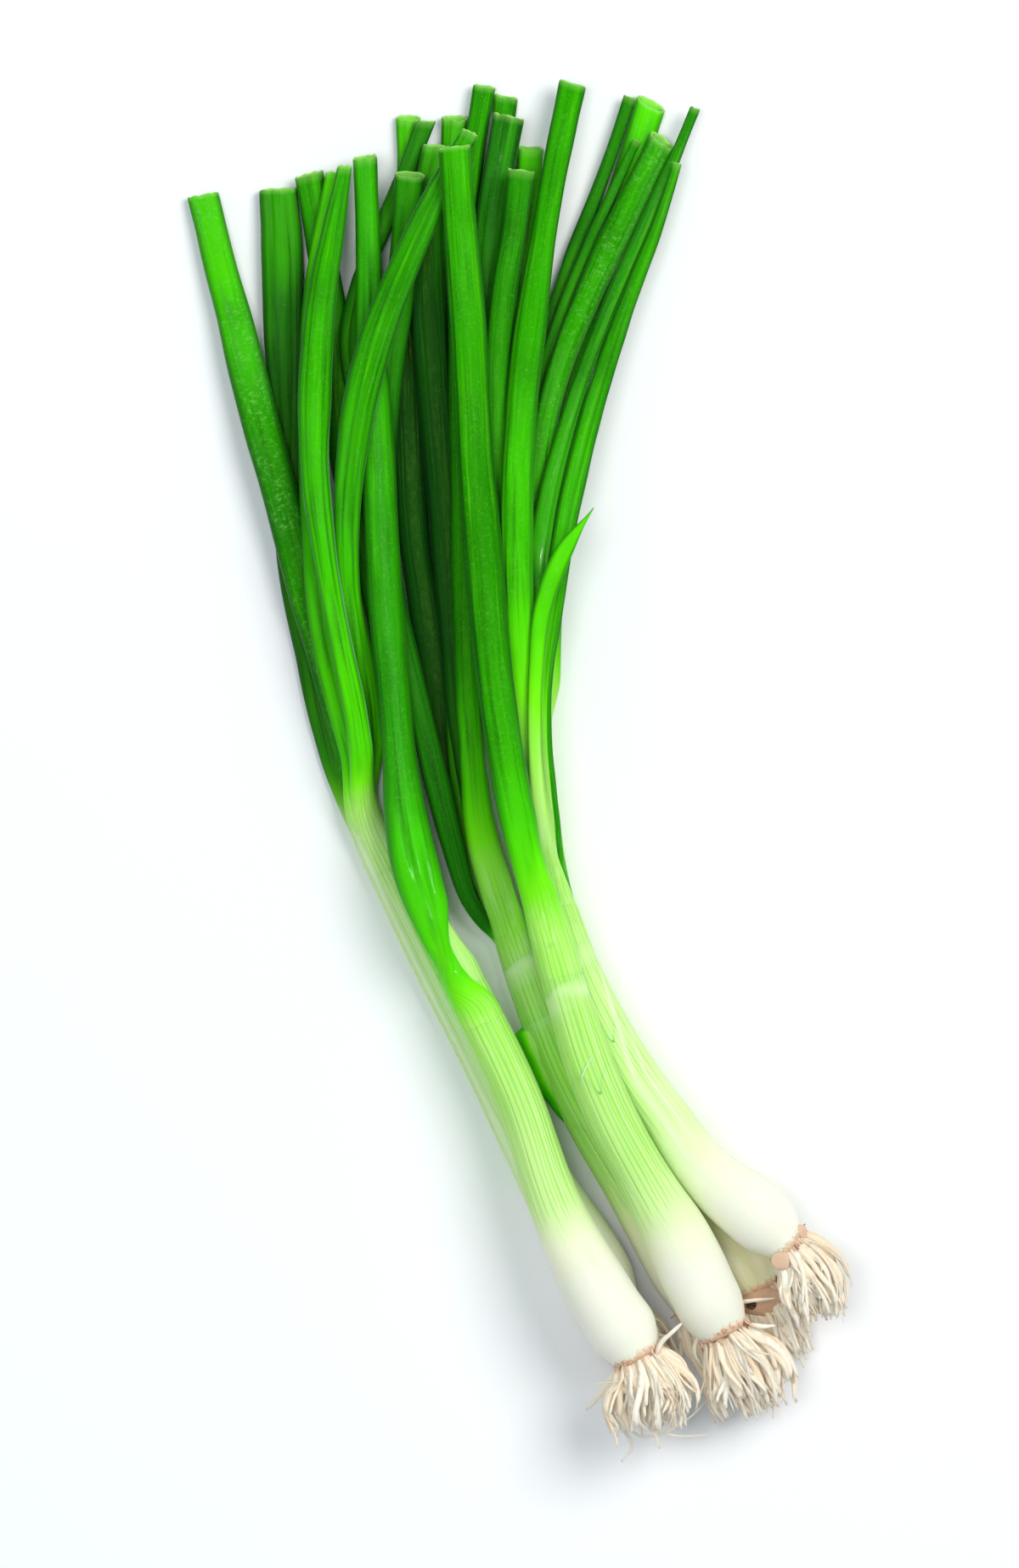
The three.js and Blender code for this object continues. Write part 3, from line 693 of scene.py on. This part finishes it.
def build_inner_sheath(stem, material):
    """The pale next sheath, which shows beside the waist of the left onion's front leaf."""
    tube = Tube(f"leaf_{stem.onion}_front")
    t, angles = np.arange(-7.5, 18.6, 1.0), turns(STEM_SIDES)
    rows = t[:, None]
    centres, widths, heights = tube.from_below(t)
    centres += plan_rights(centres) * 0.8
    centres[:, 2] -= 1.6
    narrowing = 0.95 - 0.42 * smoothstep(-2, 17, rows)
    own_points = surface(
        centres, widths[:, None] * narrowing, heights[:, None] * narrowing, angles)
    stem_points = stem.around(t, angles, mix(0.95, 0.99, smoothstep(-6, -2, rows)))
    points = mix(stem_points, own_points, smoothstep(-1.5, 7, rows)[..., None])
    make_piece(f"sheath_{stem.onion}_inner", [(points, {
        "tube": tube_place(rows, angles, VEIN_RADIUS),
        "ripe": np.minimum(stem.ripe(rows, angles), 0.4),
        "veins": 0.7,
        "pale": 0.15,
    })], material)


def build_strip(stem, material):
    """What is left of an outer leaf base: a green strip along the left side of a stem."""
    start, end = STRIP_REACH
    t = np.append(np.arange(start, end, 0.7), [end, end + 0.15, end + 0.2])
    rows, angles = t[:, None], turns(SMALL_SIDES)
    share = (rows - start) / (end - start)
    centres, widths, heights = stem.at(stem.neck + t)
    centres -= plan_rights(centres) * (widths * 0.7)[:, None]
    bulge = 2.7 * smoothstep(0, 0.5, share)
    closing = 1 - 0.6 * smoothstep(end - 1.2, end + 0.2, rows) ** 2
    dents = ripple(rows, angles, rng_for("strip"), 9, 3) * 0.35
    flatness = mix(0.35, 0.7, smoothstep(0, 0.6, share))
    points = surface(
        centres, (widths[:, None] * 0.3 + bulge) * closing + dents,
        heights[:, None] * flatness * closing + dents, angles)
    ragged = ripple(0 * rows, angles, rng_for("torn"), 10, 5) * 0.8
    ragged = ragged * smoothstep(end - 4, end, rows)
    points += plan_forwards(centres)[:, None, :] * ragged[..., None]
    # It is green along its free side, and pale where it joins the stem.
    free = smoothstep(0.0, 0.75, -np.cos(angles))
    make_piece(f"strip_{stem.onion}", [(points, {
        "tube": tube_place(rows, angles, VEIN_RADIUS),
        "ripe": mix(0.4, mix(0.72, 0.6, share), free),
        "ribs": 1.3,
        # Painted shade at its lower end.
        "shade": 0.2 * (1 - share),
    })], material)


def build_fibre(stem, material):
    """A loose pale fibre that curls up from the middle onion's stem."""
    u, t = ALONG, mix(*FIBRE_REACH, ALONG)
    centres, _, half_heights = stem.at(stem.neck + t)
    middle = centres + plan_rights(centres) * (5.2 * u**1.6 - 3.0)[:, None]
    middle[:, 2] += half_heights * 0.93 + 1.1 * np.sin(math.pi * u)
    thickness = 0.16 * np.sin(math.pi * (0.12 + 0.8 * u))
    make_piece(f"fibre_{stem.onion}", [(
        strand(middle, thickness, thickness * 0.7, 0 * u),
        {"tube": tube_place(t[:, None], ROUND, VEIN_RADIUS), "ripe": 0.06, "pale": 1},
    )], material)


def tuft_routes(tuft, rng):
    """The middle lines and radii of a tuft's roots, which fan out as the CAD tuft does."""
    u, routes = ALONG, []
    for number in range(ROOTS):
        thin, felt = rng.random() < 0.35, number >= ROOTS - FELT_ROOTS
        radius = rng.uniform(0.2, 0.45) if thin else rng.uniform(0.6, 1.1)
        reach = tuft.length * (1.1 - 0.6 * rng.random())
        spot = math.sqrt(rng.random()) * 1.02
        if felt:
            # The dense middle, which closes the gaps between the others.
            radius, reach, spot = rng.uniform(1.2, 1.8), reach * 0.8, spot * 0.72
        turn = rng.uniform(0, 2 * math.pi)
        across, lift = spot * math.cos(turn), spot * math.sin(turn)
        # The CAD tuft runs the other way, from its far end to the bulb.
        centres, half_widths, half_heights = tuft.at(tuft.length + 1.8 - u * (reach + 1.8))
        drift = rng.normal(0, 0.34, 2)
        curl = rng.uniform(0.3, 1.3) * u * np.sin(u * rng.uniform(3, 9) + rng.uniform(0, 6))
        side = (across + drift[0] * u**1.4) * (half_widths - radius) + curl
        rise = (lift + drift[1] * u**1.4) * (half_heights - radius)
        side = np.clip(side, -half_widths * 1.04, half_widths * 1.04)
        middle = centres - plan_rights(centres) * side[:, None]
        middle[:, 2] = middle[:, 2] + rise + 0.7 * np.sin(u * rng.uniform(3, 9) + turn) * u
        # Roots lower in the tuft get the peach end of the scale, as painted shade, on top of a random
        # tone.
        tone = np.clip(0.5 + 0.36 * lift + rng.uniform(-0.34, 0.34), 0, 1)
        routes.append((middle, radius, tone))
        if rng.random() < 0.3:
            # A side root that leaves it halfway.
            off = rng.normal(0, 1.6, 3) * [1, 1, 0.5]
            halfway = through(u, middle, mix(0.45, 1.0, u))
            routes.append((halfway + off * (u**1.3)[:, None], radius * 0.6, tone))
    return routes


def scrap_routes(tuft, rng):
    """Short stubs and scraps of skin round the rim of the plate."""
    (plate,), (half_width,), (half_height,) = tuft.at([tuft.length])
    away = -plan_forwards(tuft.centres)[-1]
    right = np.array([away[1], -away[0], 0])
    u, routes = ALONG[:, None], []
    for _ in range(SCRAPS):
        turn, spot = rng.uniform(0, 2 * math.pi), rng.uniform(0.8, 0.98)
        outwards = math.cos(turn) * half_width * right + [0, 0, math.sin(turn) * half_height]
        reach = rng.uniform(-0.8, 2.2)
        middle = plate + outwards * (spot + 0.12 * u) + away * mix(-1.4, reach, u)
        middle = middle + rng.normal(0, 0.5, 3) * u
        routes.append((middle, rng.uniform(0.15, 0.42), rng.random()))
    return routes


def scar_points(scar, plate):
    """An uneven flat lump, as rows round its middle from the top down."""
    place, size, lean = scar["place"], scar["size"], math.radians(scar["lean"])
    rng = rng_for(str(place))
    u, angles = np.linspace(0.08, 0.92, ROOT_STEPS)[:, None] * math.pi, turns(SMALL_SIDES)
    ragged = 1 + ripple(2 * u, angles, rng, 10, 4) * scar["ragged"]
    local = np.stack([
        np.sin(u) ** 0.7 * np.cos(angles) * size[0] * ragged,
        np.sin(u) ** 0.7 * np.sin(angles) * size[1] * ragged,
        np.cos(u) * size[2] + 0 * angles], axis=-1)
    across, up = local[..., 0].copy(), local[..., 2].copy()
    local[..., 0] = across * math.cos(lean) + up * math.sin(lean)
    local[..., 2] = up * math.cos(lean) - across * math.sin(lean)
    return plate + place + local


def build_roots(onion, material):
    """A tuft: separate roots that start all over the plate, scraps round its rim, and strays."""
    tuft = Tube(f"roots_{onion}")
    rng = rng_for(f"roots_{onion}")
    roots = [(*route, 0.0) for route in tuft_routes(tuft, rng)]
    roots += [(*route, 1.0) for route in scrap_routes(tuft, rng)]
    plate = tuft.at([tuft.length])[0][0]
    for places, thickness in STRAYS.get(onion, []):
        knots = np.linspace(0, 1, len(places))
        middle = plate + through(knots, np.array(places, float), ALONG)
        roots.append((middle, thickness / 2, 0.9, 0.0))

    parts = []
    for middle, radius, tone, scrap in roots:
        lumps = 1 + rng.normal(0, 0.09, ROOT_STEPS)
        thickness = radius * (0.85 + 0.35 * np.sin(math.pi * ALONG**0.8) - 0.3 * ALONG) * lumps
        thickness[-1] *= rng.uniform(0.4, 0.9)
        flat = rng.uniform(0.4, 0.75)
        middle[:, 2] = np.maximum(middle[:, 2], thickness + LEAF_GAP)
        roll = rng.normal(0, 0.5) + rng.normal(0, 0.8) * ALONG
        parts.append((strand(middle, thickness, thickness * flat, roll), tone, ALONG, scrap))
    for scar in SCARS.get(onion, []):
        parts.append((scar_points(scar, plate), scar["tone"], 0.6 + 0 * ALONG, 1.0))

    tubes, corners = [], 0
    for grid, tone, along, scrap in parts:
        steps, sides = grid.shape[:2]
        corners += steps * sides + 2
        around = np.linspace(0, 2 * math.pi, sides, endpoint=False)[None, :]
        # The count of corners so far sets each root off along the pattern of fibres.
        tubes.append((grid, {
            "tube": tube_place(
                along[:, None] * ROOT_PATTERN + corners % PATTERN_SHIFTS, around, 1.0),
            "tone": tone,
            "along": along[:, None],
            "scrap": scrap,
        }))
    make_piece(f"roots_{onion}", tubes, material, [f"roots_{onion}"])


def strand(middle, half_widths, half_heights, roll):
    """A thin flat tube around a line that may run in any direction, turned by roll along it."""
    forwards = unit_rows(np.gradient(middle, axis=0))
    side = unit_rows(np.cross(forwards, [0.05, 0.03, 1.0]))
    up = np.cross(side, forwards)
    across = np.cos(ROUND) * half_widths[:, None]
    lift = np.sin(ROUND) * half_heights[:, None]
    roll = roll[:, None]
    level = (across * np.cos(roll) - lift * np.sin(roll))[..., None]
    upright = (across * np.sin(roll) + lift * np.cos(roll))[..., None]
    return middle[:, None, :] + level * side[:, None, :] + upright * up[:, None, :]


# ---- Materials ----

def srgb(red, green, blue):
    """A colour in the renderer's linear values from the usual 0 to 255 ones."""
    def linear(value):
        value /= 255
        return value / 12.92 if value <= 0.04045 else ((value + 0.055) / 1.055) ** 2.4
    return (linear(red), linear(green), linear(blue), 1)


class Shader:
    """A material's node tree, built up by short calls that each return an output socket, and its
    colour so far."""

    def __init__(self, name):
        self.material = bpy.data.materials.new(name)
        self.material.use_nodes = True
        self.tree = self.material.node_tree
        self.colour = None

    def node(self, kind, inputs=(), output=0, **settings):
        node = self.tree.nodes.new(kind)
        for key, value in settings.items():
            setattr(node, key, value)
        for key, value in dict(inputs).items():
            self.plug(node.inputs[key], value)
        return node.outputs[output]

    def plug(self, socket, value):
        if isinstance(value, bpy.types.NodeSocket):
            self.tree.links.new(value, socket)
        else:
            socket.default_value = value

    def set(self, **inputs):
        principled = self.tree.nodes["Principled BSDF"]
        for key, value in inputs.items():
            self.plug(principled.inputs[key.replace("_", " ")], value)

    def attribute(self, name, output="Fac"):
        return self.node("ShaderNodeAttribute", output=output, attribute_name=name)

    def math(self, operation, a, b=0.0, c=0.0):
        return self.node("ShaderNodeMath", {0: a, 1: b, 2: c}, operation=operation)

    def times(self, product, *factors):
        for factor in factors:
            product = self.math("MULTIPLY", product, factor)
        return product

    def between(self, value, low, high, to_low=0.0, to_high=1.0):
        return self.node(
            "ShaderNodeMapRange", {0: value, 1: low, 2: high, 3: to_low, 4: to_high},
            interpolation_type="SMOOTHSTEP")

    def blend(self, share, a, b, mode="MIX"):
        return self.node(
            "ShaderNodeMix", {0: share, 6: a, 7: b}, output=2, data_type="RGBA", blend_type=mode)

    def paint(self, share, red, green, blue, mode="MIX"):
        """Covers the colour so far with a share of another."""
        self.colour = self.blend(share, self.colour, srgb(red, green, blue), mode)

    def ramp(self, value, stops):
        node = self.tree.nodes.new("ShaderNodeValToRGB")
        elements = node.color_ramp.elements
        while len(elements) < len(stops):
            elements.new(0.5)
        for element, (place, *colour) in zip(elements, stops):
            element.position = place
            element.color = srgb(*colour)
        self.plug(node.inputs[0], value)
        return node.outputs[0]

    def noise(self, place, along, scale, detail=2.0, rough=0.5):
        """Noise that is drawn out along a tube where along is under 1."""
        place = self.node(
            "ShaderNodeVectorMath", {0: place, 1: (1.0, 1.0, along)}, operation="MULTIPLY")
        return self.node(
            "ShaderNodeTexNoise",
            {"Vector": place, "Scale": scale, "Detail": detail, "Roughness": rough})

    def turn_of(self, vector):
        """The turn of a place round its tube, from -0.5 to 0.5."""
        split = self.tree.nodes.new("ShaderNodeSeparateXYZ")
        self.plug(split.inputs[0], vector)
        angle = self.math("ARCTAN2", split.outputs[1], split.outputs[0])
        return self.math("DIVIDE", angle, 2 * math.pi)

    def bump(self, height, distance):
        return self.node(
            "ShaderNodeBump", {"Height": height, "Strength": 1.0, "Distance": distance})


# Places on a colour scale, each with its red, green and blue from 0 to 255.
COLOUR_SCALE = [
    (0.00, 245, 244, 226),
    (0.10, 241, 246, 209),
    (0.22, 212, 246, 158),
    (0.34, 192, 241, 128),
    (0.44, 170, 243, 88),
    (0.52, 122, 244, 22),
    (0.60, 84, 222, 6),
    (0.70, 64, 201, 4),
    (0.84, 44, 162, 2),
    (1.00, 32, 138, 1),
]
# Root colours, from peach, which also serves as painted shade deep in a tuft, to cream.
ROOT_COLOURS = [
    (0.0, 246, 210, 168), (0.3, 253, 230, 200), (0.65, 255, 240, 214), (1.0, 255, 248, 230)]
SCRAP_COLOURS = [
    (0.0, 140, 98, 74), (0.15, 206, 164, 136), (0.6, 234, 200, 170), (1.0, 248, 228, 204)]


def plant_shader(name):
    """What stems and leaves share: the colour scale, and veins on the pale part."""
    shader = Shader(name)
    place = shader.attribute("tube", "Vector")
    ripe = shader.attribute("ripe")
    shader.colour = shader.ramp(ripe, COLOUR_SCALE)

    # Veins: dark green lines along the stem, each ending at its own height on the bulb.
    wander = shader.noise(place, 0.02, 0.5)
    turn = shader.math("MULTIPLY_ADD", wander, 0.03, shader.turn_of(place))
    vein = 0.0
    for count, strength in ((41, 1.0), (26, 0.8)):
        scaled = shader.times(turn, count)
        number = shader.math("FLOOR", scaled)
        chance = shader.node("ShaderNodeTexWhiteNoise", {"W": number}, noise_dimensions="1D")
        middle = shader.math("ABSOLUTE", shader.math("SUBTRACT", shader.math("FRACT", scaled), 0.5))
        starts = shader.math("MULTIPLY_ADD", chance, 0.2, 0.05)
        reached = shader.between(shader.math("SUBTRACT", ripe, starts), 0.0, 0.06)
        line = shader.times(shader.between(middle, 0.22, 0.05), reached, chance, strength)
        vein = shader.math("MAXIMUM", vein, line)
    vein = shader.times(vein, shader.between(ripe, 0.6, 0.46), shader.attribute("veins"))
    shader.paint(shader.times(vein, 0.78), 116, 204, 44)

    # Pale watery streaks between them, and pale bands, which on the right onion's stem are painted
    # highlights.
    grain = shader.noise(place, 0.04, 1.1, 4.0, 0.6)
    watery = shader.times(
        shader.between(grain, 0.4, 0.72), shader.between(ripe, 0.05, 0.3, 0.1, 0.6),
        shader.between(ripe, 0.52, 0.42), 0.65)
    shader.paint(watery, 228, 248, 188)
    shader.paint(shader.times(shader.attribute("pale"), 0.8), 234, 250, 208)
    return shader, place, ripe, vein


def leaf_material(name, shine, roughness, tint, relief):
    """Leaf skin. Dull waxy leaves and wet ones differ in all of these."""
    shader, place, ripe, _ = plant_shader(name)
    green = shader.between(ripe, 0.5, 0.68)

    # Lengthwise fibres and ribs, uneven, from bright to dark.
    rib_wave = shader.math("SINE", shader.times(shader.turn_of(place), RIBS * 2 * math.pi))
    rib_noise = shader.noise(place, 0.05, 0.7)
    rib_wave = shader.times(rib_wave, shader.between(rib_noise, 0.45, 0.75))
    fibres = shader.noise(place, 0.02, 1.5, 5.0, 0.62)
    streaks = shader.noise(place, 0.03, 0.55, 3.0, 0.5)
    ribs = shader.attribute("ribs")
    stripes = shader.math("MULTIPLY_ADD", rib_wave, 0.08, shader.math("SUBTRACT", fibres, 0.5))
    stripes = shader.math("MULTIPLY_ADD", shader.math("SUBTRACT", streaks, 0.5), 0.9, stripes)
    stripes = shader.times(stripes, ribs, green)
    shader.paint(shader.between(stripes, 0.0, 0.34, 0.0, 0.62), 16, 84, 2)
    shader.paint(shader.between(stripes, -0.02, -0.36, 0.0, 0.5), 98, 222, 12)

    # Broad unevenness along the leaf.
    broad = shader.noise(place, 0.15, 0.3, 2.0)
    shader.paint(shader.times(shader.between(broad, 0.45, 0.75), green, 0.55), 26, 120, 1)

    # Bluish bloom in streaks and patches, and pale specks.
    haze = shader.noise(place, 0.07, 0.8, 6.0, 0.68)
    haze = shader.times(shader.between(haze, 0.44, 0.7), shader.attribute("bloom"), green)
    shader.paint(shader.times(haze, 0.5), 78, 160, 60)
    spots = shader.noise(place, 1.0, 1.2, 4.0, 0.75)
    where = shader.noise(place, 0.3, 0.25, 2.0)
    spots = shader.times(
        shader.between(spots, 0.5, 0.68), shader.attribute("specks"),
        shader.between(where, 0.35, 0.6, 0.25, 1.0))
    shader.paint(shader.times(spots, 0.55), 120, 208, 84)
    fine_spots = shader.noise(place, 0.6, 3.5, 2.0, 0.6)
    shader.paint(shader.times(shader.between(fine_spots, 0.62, 0.7), green, 0.34), 112, 216, 36)

    # Painted shade: leaves deeper in the bunch are darkened and dulled towards a bluish green, which
    # is partly their own darker tone.
    dark = shader.blend(1.0, shader.colour, srgb(124, 128, 160), mode="MULTIPLY")
    dark = shader.blend(0.25, dark, srgb(28, 78, 44))
    shader.colour = shader.blend(shader.attribute("shade"), shader.colour, dark)
    # Painted shade: towards its sides and in its grooves a leaf is darkened.
    shader.paint(shader.times(shader.attribute("sides"), 0.9), 150, 165, 160, mode="MULTIPLY")
    # Painted sheen: a light bluish line along the two edges of a leaf.
    shader.paint(shader.times(shader.attribute("painted_edge_sheen"), 0.7), 128, 196, 140)
    shader.paint(shader.times(shader.attribute("cut"), 0.8), 176, 240, 118)

    height = shader.math("MULTIPLY_ADD", rib_wave, 0.3, fibres)
    wax = shader.noise(place, 0.25, 2.2, 3.0)
    rough = shader.between(wax, 0.3, 0.7, roughness - 0.07, roughness + 0.07)
    dry = shader.between(shader.attribute("wet"), 1.0, 0.0)
    shader.set(
        Base_Color=shader.colour,
        Roughness=shader.math("MULTIPLY_ADD", dry, 0.25, rough),
        Specular_IOR_Level=shine, Specular_Tint=(*tint, 1.0),
        Sheen_Weight=0.012, Sheen_Roughness=0.4, Sheen_Tint=(0.75, 0.9, 1.0, 1.0),
        Normal=shader.bump(shader.times(height, ribs, green), relief))
    return shader.material


def stem_material():
    shader, place, _, vein = plant_shader("stem_skin")
    plate = shader.attribute("plate")
    khaki_patches = shader.noise(place, 0.15, 0.5, 4.0, 0.6)
    khaki_patches = shader.between(khaki_patches, 0.2, 0.8, 0.3, 1.0)
    shader.paint(shader.times(khaki_patches, shader.attribute("khaki_mottling"), 0.75), 204, 202, 128)
    rim = shader.noise(place, 1.0, 0.8, 5.0, 0.75)
    browned = shader.math("MULTIPLY_ADD", shader.math("SUBTRACT", rim, 0.5), 2.2, plate)
    shader.paint(shader.between(browned, 0.25, 1.0), 230, 186, 150)
    on_plate = shader.between(plate, 0.2, 0.8)
    shader.paint(shader.times(shader.between(rim, 0.55, 0.66), on_plate, 0.8), 172, 116, 78)
    height = shader.math("SUBTRACT", shader.times(rim, plate, 3.0), vein)
    shader.set(
        Base_Color=shader.colour,
        Roughness=shader.between(plate, 0.2, 0.8, 0.48, 0.8), Specular_IOR_Level=0.28,
        Subsurface_Weight=0.4, Subsurface_Scale=0.004,
        Normal=shader.bump(height, 0.0001))
    return shader.material


def root_material():
    shader = Shader("root_skin")
    tone, along = shader.attribute("tone"), shader.attribute("along")
    shader.colour = shader.ramp(tone, ROOT_COLOURS)
    shader.paint(shader.times(shader.between(along, 0.3, 0.03), 0.6), 226, 178, 136)
    shader.paint(shader.between(along, 0.5, 1.0, 0.0, 0.4), 253, 247, 234)
    scrap = shader.ramp(tone, SCRAP_COLOURS)
    shader.colour = shader.blend(shader.attribute("scrap"), shader.colour, scrap)
    # Painted shade: a hole's dark inside, painted on a flat lump.
    shader.paint(shader.math("LESS_THAN", tone, -0.5), 70, 44, 34)
    where = shader.node("ShaderNodeTexCoord", output="Object")
    soil = shader.noise(where, 1.0, 420.0, 3.0, 0.6)
    shader.paint(shader.between(soil, 0.58, 0.75, 0.0, 0.4), 214, 180, 146)
    fibres = shader.attribute("tube", "Vector")
    grain = shader.noise(fibres, 0.25, 2.4, 4.0, 0.6)
    shader.paint(shader.between(grain, 0.5, 0.75, 0.0, 0.3), 236, 204, 168)
    shader.set(
        Base_Color=shader.colour, Roughness=0.62, Specular_IOR_Level=0.2,
        Subsurface_Weight=0.08, Subsurface_Scale=0.001, Subsurface_Radius=(1.0, 0.8, 0.55),
        Normal=shader.bump(grain, 0.0002))
    return shader.material


# ---- Building the bunch ----

DULL_SKIN = leaf_material(
    "leaf_skin", shine=0.13, roughness=0.34, tint=(0.5, 1.0, 0.15), relief=0.00012)
WET_SKIN = leaf_material(
    "wet_leaf_skin", shine=0.16, roughness=0.12, tint=(0.85, 1.0, 0.7), relief=0.00004)
STEM_SKIN = stem_material()
ROOT_SKIN = root_material()

for onion in RIPENESS:
    stem = build_stem(onion, STEM_SKIN)
    for sheath in SHEATHS.get(onion, []):
        build_sheath(stem, sheath, STEM_SKIN)
    if onion == "left":
        build_inner_sheath(stem, STEM_SKIN)
    if onion == "middle":
        build_fibre(stem, STEM_SKIN)
    if onion == "lower_middle":
        build_strip(stem, DULL_SKIN)
    build_roots(onion, ROOT_SKIN)
    for name in LEAF_LOOKS:
        if name.startswith(f"{onion}_"):
            build_leaf(name, stem, WET_SKIN if name in WET_LEAVES else DULL_SKIN)


# ---- Floor, light and camera, in metres ----

FLOOR_SIZE = 6
VIEW_HEIGHT = 0.3694       # how much the camera sees of the plane it looks at
VIEW_SHIFT = (-0.0017, -0.007)
VIEW_DISTANCE = 3.0
SENSOR = 36.0


def add_floor():
    bpy.ops.mesh.primitive_plane_add(size=FLOOR_SIZE)
    floor = bpy.context.object
    floor.name = "floor"
    shader = Shader("white_paper")
    shader.set(
        Base_Color=(0.93, 0.93, 0.93, 1), Roughness=0.9, Specular_IOR_Level=0.1)
    floor.data.materials.append(shader.material)


def add_light(name, place, size, power, colour, gloss=False):
    """A soft light without a reflection, or one that shows only as a gloss on wet surfaces."""
    data = bpy.data.lights.new(name, "AREA")
    data.shape = "DISK"
    data.size = size
    data.energy = power
    data.color = colour
    light = add_object(name, data)
    light.location = place
    light.rotation_euler = (-light.location).to_track_quat("-Z", "Y").to_euler()
    light.visible_glossy = gloss
    light.visible_diffuse = not gloss


def add_world(colour, strength):
    world = bpy.data.worlds.new("sky")
    bpy.context.scene.world = world
    world.use_nodes = True
    background = world.node_tree.nodes["Background"]
    background.inputs["Color"].default_value = colour
    background.inputs["Strength"].default_value = strength


def add_camera():
    """Straight above the bunch, far enough off that the view is nearly flat."""
    middle = np.mean(cad_box, axis=0)
    data = bpy.data.cameras.new("camera")
    data.sensor_fit = "VERTICAL"
    data.sensor_height = SENSOR
    data.lens = SENSOR * VIEW_DISTANCE / VIEW_HEIGHT
    camera = add_object("camera", data)
    camera.location = middle + [*VIEW_SHIFT, VIEW_DISTANCE]
    bpy.context.scene.camera = camera


add_floor()
add_light("key", (0.92, 0.63, 1.75), 1.2, 28.5, (1.0, 0.99, 0.96))
add_light("top", (-0.36, 0.1, 2.12), 0.8, 13.5, (0.99, 0.99, 1.0))
add_light("glint", (0.1, 0.25, 2.1), 0.2, 6, (1.0, 1.0, 1.0), gloss=True)
add_light("fill", (-1.2, -0.3, 1.5), 1.6, 2, (0.8, 0.9, 1.0))
add_world((0.74, 0.88, 1.0, 1), 0.36)
add_camera()

view = bpy.context.scene.view_settings
view.view_transform = "Standard"
view.look = "None"
view.exposure = 0.0
